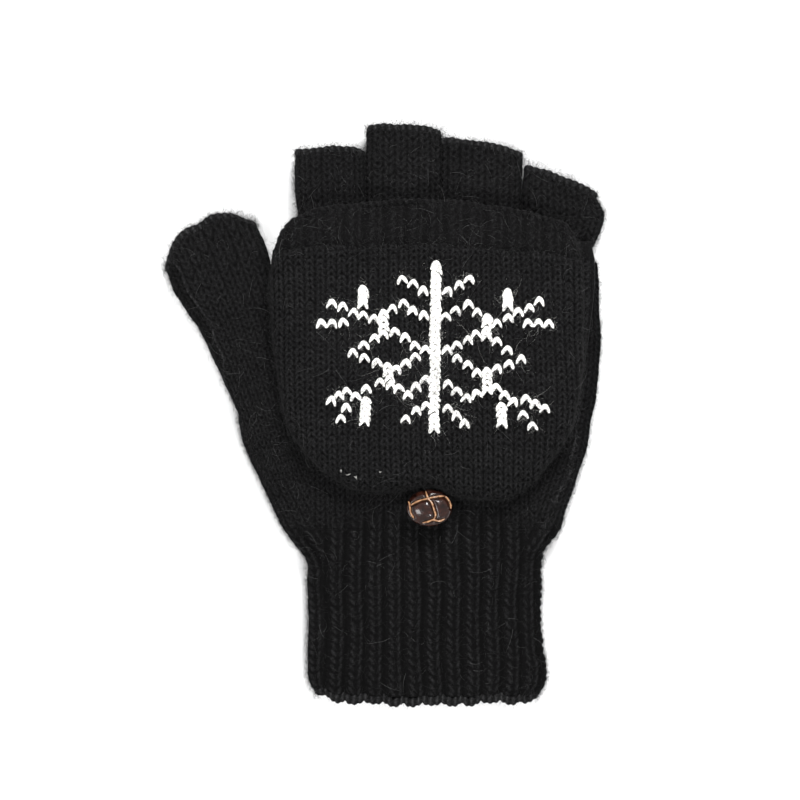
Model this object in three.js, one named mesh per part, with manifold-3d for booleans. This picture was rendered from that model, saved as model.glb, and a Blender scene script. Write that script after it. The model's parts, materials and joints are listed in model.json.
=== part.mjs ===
// Convertible flip-top mitten for the right hand, lying palm down with its cap folded back.
// Millimetres. X runs from the thumb to the little finger, Y from the wrist to the fingertips,
// Z up out of the back of the hand. The origin is under the middle of the mitten, on the table.
import * as THREE from "three";
import Module from "manifold-3d";

const wasm = await Module();
wasm.setup();

// Knit and lie of the glove
const WALL = 1.5; // one layer of knitted fabric
const GAP = 0.3; // between neighbouring pieces
const FLOOR = 0;
const HAND_TOP = 9.4; // back of the hand above the table
const FINGER_LOW = 0.2;
const FINGER_TOP = 9.2;
const ROUNDNESS = 3; // power of the flattened tube sections
const FLATNESS = 1.05; // how much of a section's top and bottom lies flat

// Cuff
const CUFF_BOTTOM = -96.5;
const CUFF_EDGE_TOP = -92.2;
const CUFF_TOP = -38;
const RIBS = 12; // ribs across one side of the cuff
const RIB_DEPTH = 0.8;
const RIB_GROOVE = 0.26; // share of a rib pitch that the groove takes

// Hand and fingers
const HAND_END = 62.7; // where the fingers start
const EDGE_LENGTH = 2.4; // bound edge of a half finger

// Cap
const SEAM_LEFT = new THREE.Vector2(-35.5, 61.4);
const SEAM_RIGHT = new THREE.Vector2(69, 57);
const SEAM_Z = 10.6; // the line that the cap turns about
const SEAM_RADIUS = 0.7;
const BACK_LOW = 9.8;
const BACK_TOP = 11.4;
const FRONT_LOW = 16;
const FRONT_TOP = 17.6;
const FRONT_DROP = 2.8; // how far the front layer turns down at its edge
const CAP_CENTRE = new THREE.Vector2(14, 14.5);
const HEM_BOTTOM = 56.2;
const HEM_TOP = 70.3;
const HEM_RIBS = 15;
const CAP_LEFT = -38.2;
const CAP_RIGHT = 65.6;
const GUSSET_START = 37; // the little finger's side of the cap stretches past here

// Snowflake, one cell for each stitch
const FLAKE_CENTRE = new THREE.Vector2(16.5, 21.7);
const WALE = 3.42;
const COURSE = 2;
const FLAKE_LOW = FRONT_TOP + GAP;
const FLAKE_TOP = FLAKE_LOW + 0.8;
const STITCH_OVERLAP = 0.25; // so that stitches that meet at a corner hold together

// Button and loop
const BUTTON = new THREE.Vector3(14.5, -30.7, 14.2);
const BUTTON_X = 7.5;
const BUTTON_Y = 6.1;
const BUTTON_RISE = 3.1;
const BUTTON_SINK = 1.5;
const BUTTON_TILT = THREE.MathUtils.degToRad(12);
const STRAP_WIDTH = 0.9;
const SHANK_RADIUS = 1.3;
const LOOP_RADIUS = 0.85;
const LOOP_HALF_WIDTH = 3.2;
const LOOP_Z = 10.75;
const LOOP_START = -24.4;
const LOOP_END = -31.2;

const wool = new THREE.MeshStandardMaterial({ color: 0x1d1d1e, roughness: 0.95, metalness: 0 });
const woolEdge = new THREE.MeshStandardMaterial({ color: 0x242425, roughness: 0.95, metalness: 0 });
const whiteYarn = new THREE.MeshStandardMaterial({ color: 0xf4f2ea, roughness: 0.9, metalness: 0 });
const brown = new THREE.MeshStandardMaterial({ color: 0x3a1c12, roughness: 0.25, metalness: 0 });
const tan = new THREE.MeshStandardMaterial({ color: 0xb97a4c, roughness: 0.35, metalness: 0 });
const cord = new THREE.MeshStandardMaterial({ color: 0x161617, roughness: 0.8, metalness: 0 });

const part = new THREE.Group();
part.name = "flip_top_mitten";

function add(name, geometry, material) {
  const mesh = new THREE.Mesh(geometry, material);
  mesh.name = name;
  part.add(mesh);
}

// A closed body from rings with the same number of points. A looped one joins its last ring to its
// first, as a tube with a wall does; any other is closed by a fan at each end.
function body(rings, looped = false) {
  const size = rings[0].length;
  const points = rings.flat();
  const faces = [];
  const bands = looped ? rings.length : rings.length - 1;
  for (let band = 0; band < bands; band += 1) {
    const here = band * size;
    const next = ((band + 1) % rings.length) * size;
    for (let k = 0; k < size; k += 1) {
      const after = (k + 1) % size;
      faces.push([here + k, here + after, next + after], [here + k, next + after, next + k]);
    }
  }
  if (!looped) {
    for (const [ring, turned] of [[rings[0], true], [rings[rings.length - 1], false]]) {
      const start = turned ? 0 : (rings.length - 1) * size;
      const middle = points.length;
      const centre = ring.reduce((sum, p) => sum.add(p), new THREE.Vector3());
      points.push(centre.divideScalar(size));
      for (let k = 0; k < size; k += 1) {
        const after = (k + 1) % size;
        faces.push(turned ? [middle, start + after, start + k] : [middle, start + k, start + after]);
      }
    }
  }
  return outward(points, faces);
}

// The geometry of points and faces, turned so that its faces look out.
function outward(points, faces) {
  const cross = new THREE.Vector3();
  let volume = 0;
  for (const [a, b, c] of faces) {
    volume += cross.crossVectors(points[a], points[b]).dot(points[c]);
  }
  const order = volume < 0 ? faces.map(([a, b, c]) => [a, c, b]) : faces;
  const geometry = new THREE.BufferGeometry();
  const flat = points.flatMap((p) => [p.x, p.y, p.z]);
  geometry.setAttribute("position", new THREE.Float32BufferAttribute(flat, 3));
  geometry.setIndex(order.flat());
  return geometry;
}

function solid(geometry) {
  const vertProperties = new Float32Array(geometry.attributes.position.array);
  const triVerts = new Uint32Array(geometry.index.array);
  return new wasm.Manifold(new wasm.Mesh({ numProp: 3, vertProperties, triVerts }));
}

function geometryOf(manifold) {
  const mesh = manifold.getMesh();
  const geometry = new THREE.BufferGeometry();
  const places = new THREE.BufferAttribute(new Float32Array(mesh.vertProperties), 3);
  geometry.setAttribute("position", places);
  geometry.setIndex(new THREE.BufferAttribute(new Uint32Array(mesh.triVerts), 1));
  return geometry;
}

// Places across a section, closer together towards its two sides.
function across(count) {
  const places = [];
  for (let k = 0; k <= count; k += 1) {
    places.push(-Math.cos((Math.PI * k) / count));
  }
  return places;
}

// One section of a flattened tube, from its left side to its right and back underneath.
// inset moves it inwards, groove(k) lowers its surface and arch pushes its middle along the tube.
function section(places, station, inset = 0, groove = () => 0) {
  const { left, right, low, high, arch = 0 } = station;
  const middle = left.clone().add(right).multiplyScalar(0.5);
  const half = right.clone().sub(left).multiplyScalar(0.5);
  const along = new THREE.Vector2(-half.y, half.x).normalize();
  half.multiplyScalar(1 - inset / half.length());
  const level = (low + high) / 2;
  const rise = (high - low) / 2 - inset;
  const point = (k, side) => {
    const u = places[k];
    const round = (1 - Math.abs(u) ** ROUNDNESS) ** (1 / ROUNDNESS);
    const height = rise * Math.min(1, FLATNESS * round) - groove(k) * Math.min(1, round * 1.5);
    const push = arch * (1 - u * u);
    return new THREE.Vector3(
      middle.x + half.x * u + along.x * push,
      middle.y + half.y * u + along.y * push,
      level + side * (round > 0 ? height : 0),
    );
  };
  const upper = places.map((_, k) => point(k, 1));
  const lower = places.map((_, k) => point(k, -1)).slice(1, -1).reverse();
  return [...upper, ...lower];
}

function tube(stations, places, groove) {
  const outer = stations.map((s) => section(places, s, 0, groove));
  const inner = stations.map((s) => section(places, s, WALL));
  return body([...outer, ...inner.reverse()], true);
}

const at = (x, y) => new THREE.Vector2(x, y);
const level = (y, left, right, low = FLOOR, high = HAND_TOP) => ({
  left: at(left, y),
  right: at(right, y),
  low,
  high,
});

// Cuff: a ribbed tube and its cast-on edge
const ribPlaces = [-1, -0.985];
const grooves = [0, 0];
for (let rib = 0; rib < RIBS; rib += 1) {
  const pitch = 1.93 / RIBS;
  const start = -0.965 + rib * pitch;
  ribPlaces.push(start + (pitch * RIB_GROOVE) / 2, start + pitch * (1 - RIB_GROOVE / 2));
  grooves.push(0, 0);
  if (rib < RIBS - 1) {
    ribPlaces.push(start + pitch);
    grooves.push(RIB_DEPTH);
  }
}
ribPlaces.push(0.985, 1);
grooves.push(0, 0);
const ribbed = (k) => grooves[k];
const cuffStations = [
  level(CUFF_EDGE_TOP, -24.6, 51.2),
  level(-85, -25.6, 52.8),
  level(-70, -25.4, 51.8),
  level(-52, -25.5, 51.6),
  level(-46, -27.4, 52.4),
  level(CUFF_TOP, -33.6, 57.6),
];
add("cuff_rib", tube(cuffStations, ribPlaces, ribbed), wool);
const cuffEdge = [
  level(CUFF_BOTTOM, -21.6, 49.2),
  level(CUFF_BOTTOM + 1.4, -23, 50.4),
  level(CUFF_EDGE_TOP - GAP, -24.5, 51.1),
];
add("cuff_edge", tube(cuffEdge, ribPlaces, ribbed), woolEdge);

// Hand and thumb: the thumb leaves through the left side of the hand
const handStations = [
  level(CUFF_TOP + GAP, -33.8, 57.8),
  level(-31, -37.6, 60.8),
  level(-22, -41.9, 63.4),
  level(-14, -45.3, 65.8),
  level(-2, -48.4, 68.3),
  level(10, -47, 70.2),
  level(22, -42.5, 71.6),
  level(35, -37.5, 71.6),
  level(50, -33, 70.4),
  level(HAND_END, -31.2, 70.7),
];
const handPlaces = across(20);
const thumbPlaces = across(16);
const slanted = (lx, ly, rx, ry, arch = 0, low = FINGER_LOW, high = FINGER_TOP) => ({
  left: at(lx, ly),
  right: at(rx, ry),
  low,
  high,
  arch,
});
const thumbRoot = slanted(-41, -14, -24, -10);
const thumbStations = [
  slanted(-45.6, -8, -27, -2),
  slanted(-50.4, 4, -29.5, 10),
  slanted(-57, 18.5, -32, 25),
  slanted(-63.8, 31.2, -35.5, 39),
  slanted(-70.4, 42.6, -39, 52, 1.5),
  slanted(-73, 50.6, -41.6, 59.4, 3.4),
];
const stretched = (s, by) => ({
  ...s,
  left: s.left.clone().add(by),
  right: s.right.clone().add(by),
});
const loft = (stations, places, inset) => body(stations.map((s) => section(places, s, inset)));
const thumbWay = [
  thumbRoot,
  ...thumbStations,
  stretched(thumbStations[thumbStations.length - 1], at(-1.6, 5.6)),
];
const bore = solid(loft(thumbWay, thumbPlaces, WALL));
const handShell = solid(tube(handStations, handPlaces)).subtract(bore);
add("hand_shell", geometryOf(handShell), wool);
const handRoom = [
  stretched(handStations[0], at(0, -1)),
  ...handStations.slice(1, -1),
  stretched(handStations[handStations.length - 1], at(0, 1)),
];
const thumb = solid(loft(thumbStations, thumbPlaces, 0))
  .subtract(bore)
  .subtract(solid(loft(handRoom, handPlaces, -GAP)));
add("thumb_tube", geometryOf(thumb), wool);
const thumbEdge = [
  slanted(-73.1, 51, -41.7, 59.8, 3.4, FLOOR, HAND_TOP),
  slanted(-72.9, 52.4, -42, 61.2, 3.7, FLOOR, HAND_TOP),
  slanted(-71.4, 54.2, -42.8, 62.4, 4, FLOOR, HAND_TOP),
];
add("thumb_edge", tube(thumbEdge, thumbPlaces), woolEdge);

// Half fingers, each a tube with a bound edge round its opening
const fingerPlaces = across(12);
const fingers = {
  index: { base: [-30.4, -6.9], left: [-30.6, 86.4], right: [-6.9, 86] },
  middle: { base: [-6.3, 18.1], left: [-6.6, 93.8], right: [18.1, 91.6] },
  ring: { base: [18.7, 44.1], left: [19, 88.4], right: [46.1, 83.6] },
  little: { base: [44.7, 70.7], left: [47.2, 80.4], right: [72.1, 71.8] },
};
for (const [name, { base, left, right }] of Object.entries(fingers)) {
  const root = level(HAND_END + GAP, base[0], base[1], FINGER_LOW, FINGER_TOP);
  const end = slanted(...left, ...right, 0.4);
  const middle = slanted(
    (base[0] + left[0]) / 2,
    (HAND_END + left[1]) / 2,
    (base[1] + right[0]) / 2 + (name === "little" ? 1.2 : 0),
    (HAND_END + right[1]) / 2,
  );
  add(`${name}_finger`, tube([root, middle, end], fingerPlaces), wool);
  const way = at(left[1] - right[1], right[0] - left[0]).normalize();
  const low = { ...end, low: FLOOR, high: HAND_TOP };
  const edge = [GAP, EDGE_LENGTH * 0.6, EDGE_LENGTH + GAP].map((step) =>
    stretched(low, way.clone().multiplyScalar(step)),
  );
  edge[2].left.x += 0.5;
  edge[2].right.x -= 0.5;
  add(`${name}_edge`, tube(edge, fingerPlaces), woolEdge);
}

// Cap: its outline from the left end of the mouth, round the tip, to the right end
const capSide = new THREE.SplineCurve([
  at(-37.4, 53),
  at(-38.2, 38),
  at(-36.2, 15),
  at(-34.2, 3.3),
  at(-31, -6.2),
  at(-25, -13.6),
  at(-18.5, -19.7),
  at(-12, -24),
  at(-3.5, -25.2),
  at(5, -24.8),
  at(10.8, -23.9),
  at(18, -23.9),
  at(23, -26.6),
  at(31.5, -27.7),
  at(41.5, -26.5),
  at(47.4, -23.4),
  at(52.6, -17.5),
  at(57.6, -11.5),
  at(61.5, -4.6),
  at(64.4, 11.7),
  at(CAP_RIGHT - 0.2, 30),
  at(CAP_RIGHT, 50.4),
]);
const capSteps = 64;
const capLine = capSide.getPoints(capSteps);
const hemLow = (x) => HEM_BOTTOM - 0.0016 * (x - 5) ** 2;
const hemHigh = (x) => HEM_TOP - 0.003 * (x - 10) ** 2;
const seamAt = (x) => {
  const share = (x - SEAM_LEFT.x) / (SEAM_RIGHT.x - SEAM_LEFT.x);
  return SEAM_LEFT.y + share * (SEAM_RIGHT.y - SEAM_LEFT.y);
};

// Back layer: flat, and wider than the front one on the little finger's side
const widened = (p) => {
  const up = THREE.MathUtils.smoothstep(p.y, 0, 50);
  return at(p.x > 30 ? p.x + 3.6 * up : p.x, p.y);
};
const lift = (line, z) => line.map((p) => new THREE.Vector3(p.x, p.y, z));
const seamClear = SEAM_RADIUS + GAP;
const backLine = capLine.map(widened);
backLine.push(at(69, seamAt(69) - seamClear));
for (let k = 1; k < 12; k += 1) {
  const x = THREE.MathUtils.lerp(69, -35.6, k / 12);
  backLine.push(at(x, seamAt(x) - seamClear));
}
backLine.push(at(-35.6, seamAt(-35.6) - seamClear));
add("cap_back_layer", body([lift(backLine, BACK_LOW), lift(backLine, BACK_TOP)]), wool);

// Seam cord on the back of the hand, which the back layer turns about
const seamPath = new THREE.LineCurve3(
  new THREE.Vector3(SEAM_LEFT.x, SEAM_LEFT.y, SEAM_Z),
  new THREE.Vector3(SEAM_RIGHT.x, SEAM_RIGHT.y, SEAM_Z),
);
const circle = (radius, sides) => {
  const shape = new THREE.Shape();
  for (let k = 0; k < sides; k += 1) {
    const turn = (2 * Math.PI * k) / sides;
    const place = [radius * Math.cos(turn), radius * Math.sin(turn)];
    if (k === 0) {
      shape.moveTo(...place);
    } else {
      shape.lineTo(...place);
    }
  }
  shape.closePath();
  return shape;
};
const rope = (path, radius, sides, steps) =>
  new THREE.ExtrudeGeometry(circle(radius, sides), { steps, extrudePath: path });
add("cap_seam", rope(seamPath, SEAM_RADIUS, 12, 1), woolEdge);

// Front layer: flat in the middle, turned down round its edge
const frontLine = capLine.map((p) => p.clone());
const frontTop = [];
for (let k = 1; k < 16; k += 1) {
  const x = THREE.MathUtils.lerp(CAP_RIGHT, -37.4, k / 16);
  frontTop.push(at(x, hemLow(x) - GAP));
}
const frontOutline = [...frontLine, ...frontTop];
// How far a place lies towards the turned-down edge: 0 in the middle, 1 on the edge.
const edgeShare = (p) => {
  const side = Math.max((p.x - 14) / (CAP_RIGHT - 14), (14 - p.x) / (14 - CAP_LEFT));
  return THREE.MathUtils.clamp((side - 0.86) / 0.14, 0, 1);
};
const frontRing = (scale, z, isEdge) =>
  frontOutline.map((p, k) => {
    const x = CAP_CENTRE.x + (p.x - CAP_CENTRE.x) * scale;
    const y = CAP_CENTRE.y + (p.y - CAP_CENTRE.y) * scale;
    const mouth = k > capSteps;
    const share = isEdge && !mouth ? 1 : edgeShare(at(x, y)) * (mouth ? 1 : 0);
    return new THREE.Vector3(x, mouth && isEdge ? p.y : y, z - FRONT_DROP * share ** 2);
  });
const frontRings = [
  frontRing(0.86, FRONT_LOW, false),
  frontRing(0.95, FRONT_LOW - 0.5, false),
  frontRing(0.985, FRONT_LOW, true),
  frontRing(1, (FRONT_LOW + FRONT_TOP) / 2, true),
  frontRing(0.985, FRONT_TOP, true),
  frontRing(0.95, FRONT_TOP - 0.5, false),
  frontRing(0.86, FRONT_TOP, false),
];
add("cap_front_layer", body(frontRings), wool);

// Ribbed hem along the mouth of the cap
const hemRings = [];
const hemPitch = (CAP_RIGHT - CAP_LEFT - 3) / HEM_RIBS;
const hemStation = (x, dip) => {
  const drop = FRONT_DROP * edgeShare(at(x, 0)) ** 2;
  const low = FRONT_LOW - drop;
  const top = FRONT_TOP + 0.3 - drop - dip;
  const y0 = hemLow(x);
  const y1 = hemHigh(x) - 5 * THREE.MathUtils.smoothstep(edgeShare(at(x, 0)), 0.3, 1);
  return [
    new THREE.Vector3(x, y0, low),
    new THREE.Vector3(x, y1 - 0.5, low),
    new THREE.Vector3(x, y1, (low + top) / 2),
    new THREE.Vector3(x, y1 - 0.5, top),
    new THREE.Vector3(x, y0, top),
  ];
};
hemRings.push(hemStation(CAP_LEFT + 0.8, 0));
for (let rib = 0; rib < HEM_RIBS; rib += 1) {
  const x = CAP_LEFT + 1.5 + rib * hemPitch;
  hemRings.push(hemStation(x + hemPitch * 0.13, 0));
  hemRings.push(hemStation(x + hemPitch * 0.87, 0));
  if (rib < HEM_RIBS - 1) {
    hemRings.push(hemStation(x + hemPitch, 0.6));
  }
}
hemRings.push(hemStation(CAP_RIGHT - 0.4, 0));
add("cap_hem_rib", body(hemRings), wool);

// Side wall between the two layers, from the mouth round the tip
function rail(line, z0, z1, width) {
  const rings = line.map((p, k) => {
    const before = line[Math.max(0, k - 1)];
    const after = line[Math.min(line.length - 1, k + 1)];
    const way = after.clone().sub(before).normalize();
    const inward = at(-way.y, way.x);
    const place = (inset, z) =>
      new THREE.Vector3(p.x + inward.x * inset, p.y + inward.y * inset, z);
    return [
      place(0.3, z0),
      place(0, (z0 + z1) / 2),
      place(0.3, z1),
      place(width, z1),
      place(width, z0),
    ];
  });
  return body(rings);
}
const wallLow = BACK_TOP + GAP;
const wallTop = FRONT_LOW - FRONT_DROP - GAP;
const gussetAt = capLine.findIndex((p) => p.x > 30 && p.y > GUSSET_START);
add("cap_side_wall", rail(capLine.slice(0, gussetAt), wallLow, wallTop, 1.8), wool);
const gusset = capLine.slice(gussetAt).map((p, k) => (k ? p : at(p.x, p.y + GAP)));
add("cap_side_gusset", rail(gusset, wallLow, wallTop, 1.8), wool);

// Snowflake: the stitches of its upper right quarter, as columns from the middle and rows up
const spoke = (column, row, count, climb) =>
  Array.from({ length: count }, (_, k) => [column + k, row + climb * k]);
const quarter = [
  ...Array.from({ length: 15 }, (_, row) => [0, row]),
  ...spoke(1, 10, 3, 1),
  ...spoke(1, 6, 3, 1),
  [4, 7],
  [1, 1],
  [2, 2],
  [3, 2.5],
  [4, 3],
  ...Array.from({ length: 4 }, (_, k) => [5, 3 + k]),
  ...spoke(6, 5, 5, 1),
  ...Array.from({ length: 4 }, (_, k) => [7, 7 + k]),
  [8, 5.4],
  [9, 5],
  [10, 5],
  [11, 5],
  [6, 2],
  [7, 1],
  [8, 0],
];
const stitch = (x, y) => {
  const across = WALE / 2 + STITCH_OVERLAP;
  const up = COURSE / 2 + STITCH_OVERLAP;
  const cell = [at(x - across, y - up), at(x + across, y - up), at(x + across, y + up)];
  cell.push(at(x - across, y + up));
  return solid(body([lift(cell, FLAKE_LOW), lift(cell, FLAKE_TOP)]));
};
const stitches = [];
const drawn = new Set();
for (const [column, row] of quarter) {
  for (const sx of [-1, 1]) {
    for (const sy of [-1, 1]) {
      const key = `${sx * column || 0},${sy * row || 0}`;
      if (!drawn.has(key)) {
        drawn.add(key);
        const x = FLAKE_CENTRE.x + sx * column * WALE;
        stitches.push(stitch(x, FLAKE_CENTRE.y + sy * row * COURSE));
      }
    }
  }
}
const flake = wasm.Manifold.union(stitches);
add("snowflake", geometryOf(flake), whiteYarn);

// Button: an oval dome of woven straps on a thread shank, leaning a little towards the cap
const place = (geometry) => {
  geometry.rotateX(-BUTTON_TILT);
  geometry.translate(BUTTON.x, BUTTON.y, BUTTON.z);
  return geometry;
};
// A band of the dome's surface from one polar angle to another, thick steps deep.
function domePoint(turn, polar, grow) {
  const lobes = 1 + 0.02 * Math.cos(4 * turn);
  const rise = Math.cos(polar) > 0 ? BUTTON_RISE : BUTTON_SINK;
  return new THREE.Vector3(
    (BUTTON_X * lobes - 0.6 + grow) * Math.sin(polar) * Math.cos(turn),
    (BUTTON_Y * lobes - 0.6 + grow) * Math.sin(polar) * Math.sin(turn),
    (rise + grow - 0.6) * Math.cos(polar),
  );
}
const domeRings = [];
for (let k = 1; k < 10; k += 1) {
  const ring = [];
  for (let n = 0; n < 28; n += 1) {
    ring.push(domePoint((2 * Math.PI * n) / 28, (Math.PI * k) / 10, 0));
  }
  domeRings.push(ring);
}
add("button_dome", place(body(domeRings)), brown);

// Straps: two crossing bands over the dome and one round its rim, joined as one net
const strapPoint = (turn, polar, grow, aside) => {
  const p = domePoint(turn, polar, grow);
  return p.add(aside);
};
function strap(turn) {
  const aside = new THREE.Vector3(-Math.sin(turn), Math.cos(turn), 0);
  const rings = [];
  for (let k = 0; k <= 16; k += 1) {
    const share = THREE.MathUtils.lerp(-0.5, 0.5, k / 16);
    const polar = Math.abs(share) * Math.PI;
    const heading = share < 0 ? turn + Math.PI : turn;
    const bow = aside.clone().multiplyScalar(0.9 * Math.cos(Math.PI * share));
    rings.push(
      [[0.3, -1], [0.3, 1], [0.75, 0.7], [0.75, -0.7]].map(([grow, side]) => {
        const shift = aside.clone().multiplyScalar((side * STRAP_WIDTH) / 2);
        return strapPoint(heading, polar, grow, shift.add(bow));
      }),
    );
  }
  return solid(body(rings));
}
const rimRings = [];
for (let k = 0; k < 28; k += 1) {
  const turn = (2 * Math.PI * k) / 28;
  const around = [[0.3, 1.48], [0.3, 1.66], [0.75, 1.64], [0.75, 1.5]];
  rimRings.push(around.map(([grow, polar]) => domePoint(turn, polar, grow)));
}
const rim = solid(body(rimRings, true));
const domeRoom = solid(body(domeRings.map((ring, k) =>
  ring.map((_, n) => domePoint((2 * Math.PI * n) / 28, (Math.PI * (k + 1)) / 10, 0.25)),
)));
const net = wasm.Manifold.union([strap(0.35), strap(0.35 + Math.PI / 2), rim]).subtract(domeRoom);
add("button_straps", place(geometryOf(net)), tan);

const upright = (radius, low, high) => {
  const geometry = new THREE.CylinderGeometry(radius, radius, high - low, 16);
  geometry.rotateX(Math.PI / 2);
  geometry.translate(BUTTON.x, BUTTON.y, (low + high) / 2);
  return geometry;
};
add("button_shank", upright(SHANK_RADIUS, 11.2, BUTTON.z - BUTTON_SINK - 0.2), brown);
add("button_thread", upright(SHANK_RADIUS + 0.2, HAND_TOP + GAP, 10.9), woolEdge);

// Elastic loop from the tip of the cap round the shank
const loopLeft = BUTTON.x - LOOP_HALF_WIDTH;
const loopRight = BUTTON.x + LOOP_HALF_WIDTH;
const arcPoint = (turn) =>
  new THREE.Vector3(
    BUTTON.x - LOOP_HALF_WIDTH * Math.cos(turn),
    LOOP_END - LOOP_HALF_WIDTH * Math.sin(turn),
    LOOP_Z,
  );
const loopPath = new THREE.CatmullRomCurve3([
  new THREE.Vector3(loopLeft, LOOP_START, LOOP_Z),
  new THREE.Vector3(loopLeft, (LOOP_START + LOOP_END) / 2, LOOP_Z),
  ...[0, 0.2, 0.4, 0.6, 0.8, 1].map((share) => arcPoint(Math.PI * share)),
  new THREE.Vector3(loopRight, (LOOP_START + LOOP_END) / 2, LOOP_Z),
  new THREE.Vector3(loopRight, LOOP_START, LOOP_Z),
]);
add("button_loop", rope(loopPath, LOOP_RADIUS, 8, 24), cord);

export default part;
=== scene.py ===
import json
import math

import bpy
import numpy as np
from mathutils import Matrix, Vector


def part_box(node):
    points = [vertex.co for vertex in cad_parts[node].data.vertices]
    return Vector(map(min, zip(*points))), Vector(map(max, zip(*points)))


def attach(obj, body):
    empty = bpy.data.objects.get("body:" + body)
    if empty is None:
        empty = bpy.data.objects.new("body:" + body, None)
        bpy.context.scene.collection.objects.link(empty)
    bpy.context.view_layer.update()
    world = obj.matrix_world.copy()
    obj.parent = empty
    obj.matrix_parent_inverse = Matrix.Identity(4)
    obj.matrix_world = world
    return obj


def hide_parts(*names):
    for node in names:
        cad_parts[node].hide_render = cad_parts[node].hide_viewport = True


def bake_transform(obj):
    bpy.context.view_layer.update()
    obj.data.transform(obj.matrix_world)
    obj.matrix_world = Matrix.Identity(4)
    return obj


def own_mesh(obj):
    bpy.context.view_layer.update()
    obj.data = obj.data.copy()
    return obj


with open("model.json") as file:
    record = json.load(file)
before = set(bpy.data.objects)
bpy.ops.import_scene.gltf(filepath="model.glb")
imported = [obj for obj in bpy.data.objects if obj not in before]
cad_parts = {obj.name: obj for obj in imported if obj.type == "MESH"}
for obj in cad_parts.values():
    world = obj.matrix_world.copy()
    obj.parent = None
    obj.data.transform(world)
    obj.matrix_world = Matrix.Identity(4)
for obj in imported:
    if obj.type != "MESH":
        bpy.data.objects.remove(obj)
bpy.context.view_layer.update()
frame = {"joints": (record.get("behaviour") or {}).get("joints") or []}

MM = 0.001
WALE = 3.42  # width of one knitted stitch
COURSE = 2.0  # height of one row of stitches
WALL = 1.5  # thickness of the knitting
STEP = 0.37  # spacing of the points on the body

# ---------------------------------------------------------------- sizes from the frame, in mm


def box(name):
    lo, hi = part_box(name)
    return np.array(lo) / MM, np.array(hi) / MM


TOP = box("hand_shell")[1][2]
FRONT_Z = box("cap_front_layer")[1][2]
BACK_Z = box("cap_back_layer")[0][2]
SEAM_LO, SEAM_HI = box("cap_seam")
FLAKE = sum(box("snowflake")) / 2
FLIP = next(j for j in frame["joints"] if j["name"] == "cap_flip")
PIVOT = np.array(FLIP["pos_m"]) / MM
UP = np.array([0, 0, 1.0])

# ---------------------------------------------------------------- small tools


def smooth(x, a, b):
    t = np.clip((x - a) / (b - a), 0, 1)
    return t * t * (3 - 2 * t)


def unit(v):
    """v with each of its vectors scaled to length 1."""
    return v / np.linalg.norm(v, axis=-1, keepdims=True)


def link(name, data):
    """A new object in the scene."""
    thing = bpy.data.objects.new(name, data)
    bpy.context.scene.collection.objects.link(thing)
    return thing


def waves(points, size, seed, octaves=1, count=14):
    """Smooth seeded noise of about -1 to 1 over points, with features about size mm across."""
    rng = np.random.default_rng(seed)
    out = np.zeros(points.shape[:-1])
    for octave in range(octaves):
        scale = size / 2**octave
        for _ in range(count):
            way = rng.normal(size=3)
            way /= np.linalg.norm(way)
            turn = rng.uniform(0, 2 * np.pi)
            out += np.sin(points @ way * (2 * np.pi / scale) * rng.uniform(0.7, 1.3) + turn) / (
                math.sqrt(count) * 2**octave
            )
    return out


def curve(t, keys):
    """Values at t of a smooth curve through keys [(t, value...), ...], by cubic Hermite pieces."""
    keys = np.array(keys, float)
    x, y = keys[:, 0], keys[:, 1:]
    slope = np.gradient(y, x, axis=0)
    k = np.clip(np.searchsorted(x, t) - 1, 0, len(x) - 2)
    h = (x[k + 1] - x[k])[:, None]
    f = ((np.asarray(t) - x[k]) / (x[k + 1] - x[k]))[:, None]
    f2, f3 = f * f, f * f * f
    start = (2 * f3 - 3 * f2 + 1) * y[k] + (f3 - 2 * f2 + f) * h * slope[k]
    return start + (3 * f2 - 2 * f3) * y[k + 1] + (f3 - f2) * h * slope[k + 1]


def distances(line):
    """Distance along a line of points to each of them."""
    return np.concatenate([[0], np.cumsum(np.linalg.norm(np.diff(line, axis=0), axis=1))])


def line_points(keys, count):
    """count points evenly spaced along a smooth line through keys."""
    keys = np.array(keys, float)
    gone = distances(keys)
    fine = curve(np.linspace(0, gone[-1], 1500), np.column_stack([gone, keys]))
    far = distances(fine)
    at = np.linspace(0, far[-1], count)
    return np.column_stack([np.interp(at, far, fine[:, k]) for k in range(fine.shape[1])])


def normals_of(grid, wrap):
    """Unit normals of a grid of points (rows, columns, 3); wrap says whether the columns close."""
    rows = np.gradient(grid, axis=0)
    if wrap:
        columns = (np.roll(grid, -1, axis=1) - np.roll(grid, 1, axis=1)) / 2
    else:
        columns = np.gradient(grid, axis=1)
    n = np.cross(columns, rows)
    return n / np.maximum(np.linalg.norm(n, axis=2, keepdims=True), 1e-12)


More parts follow.
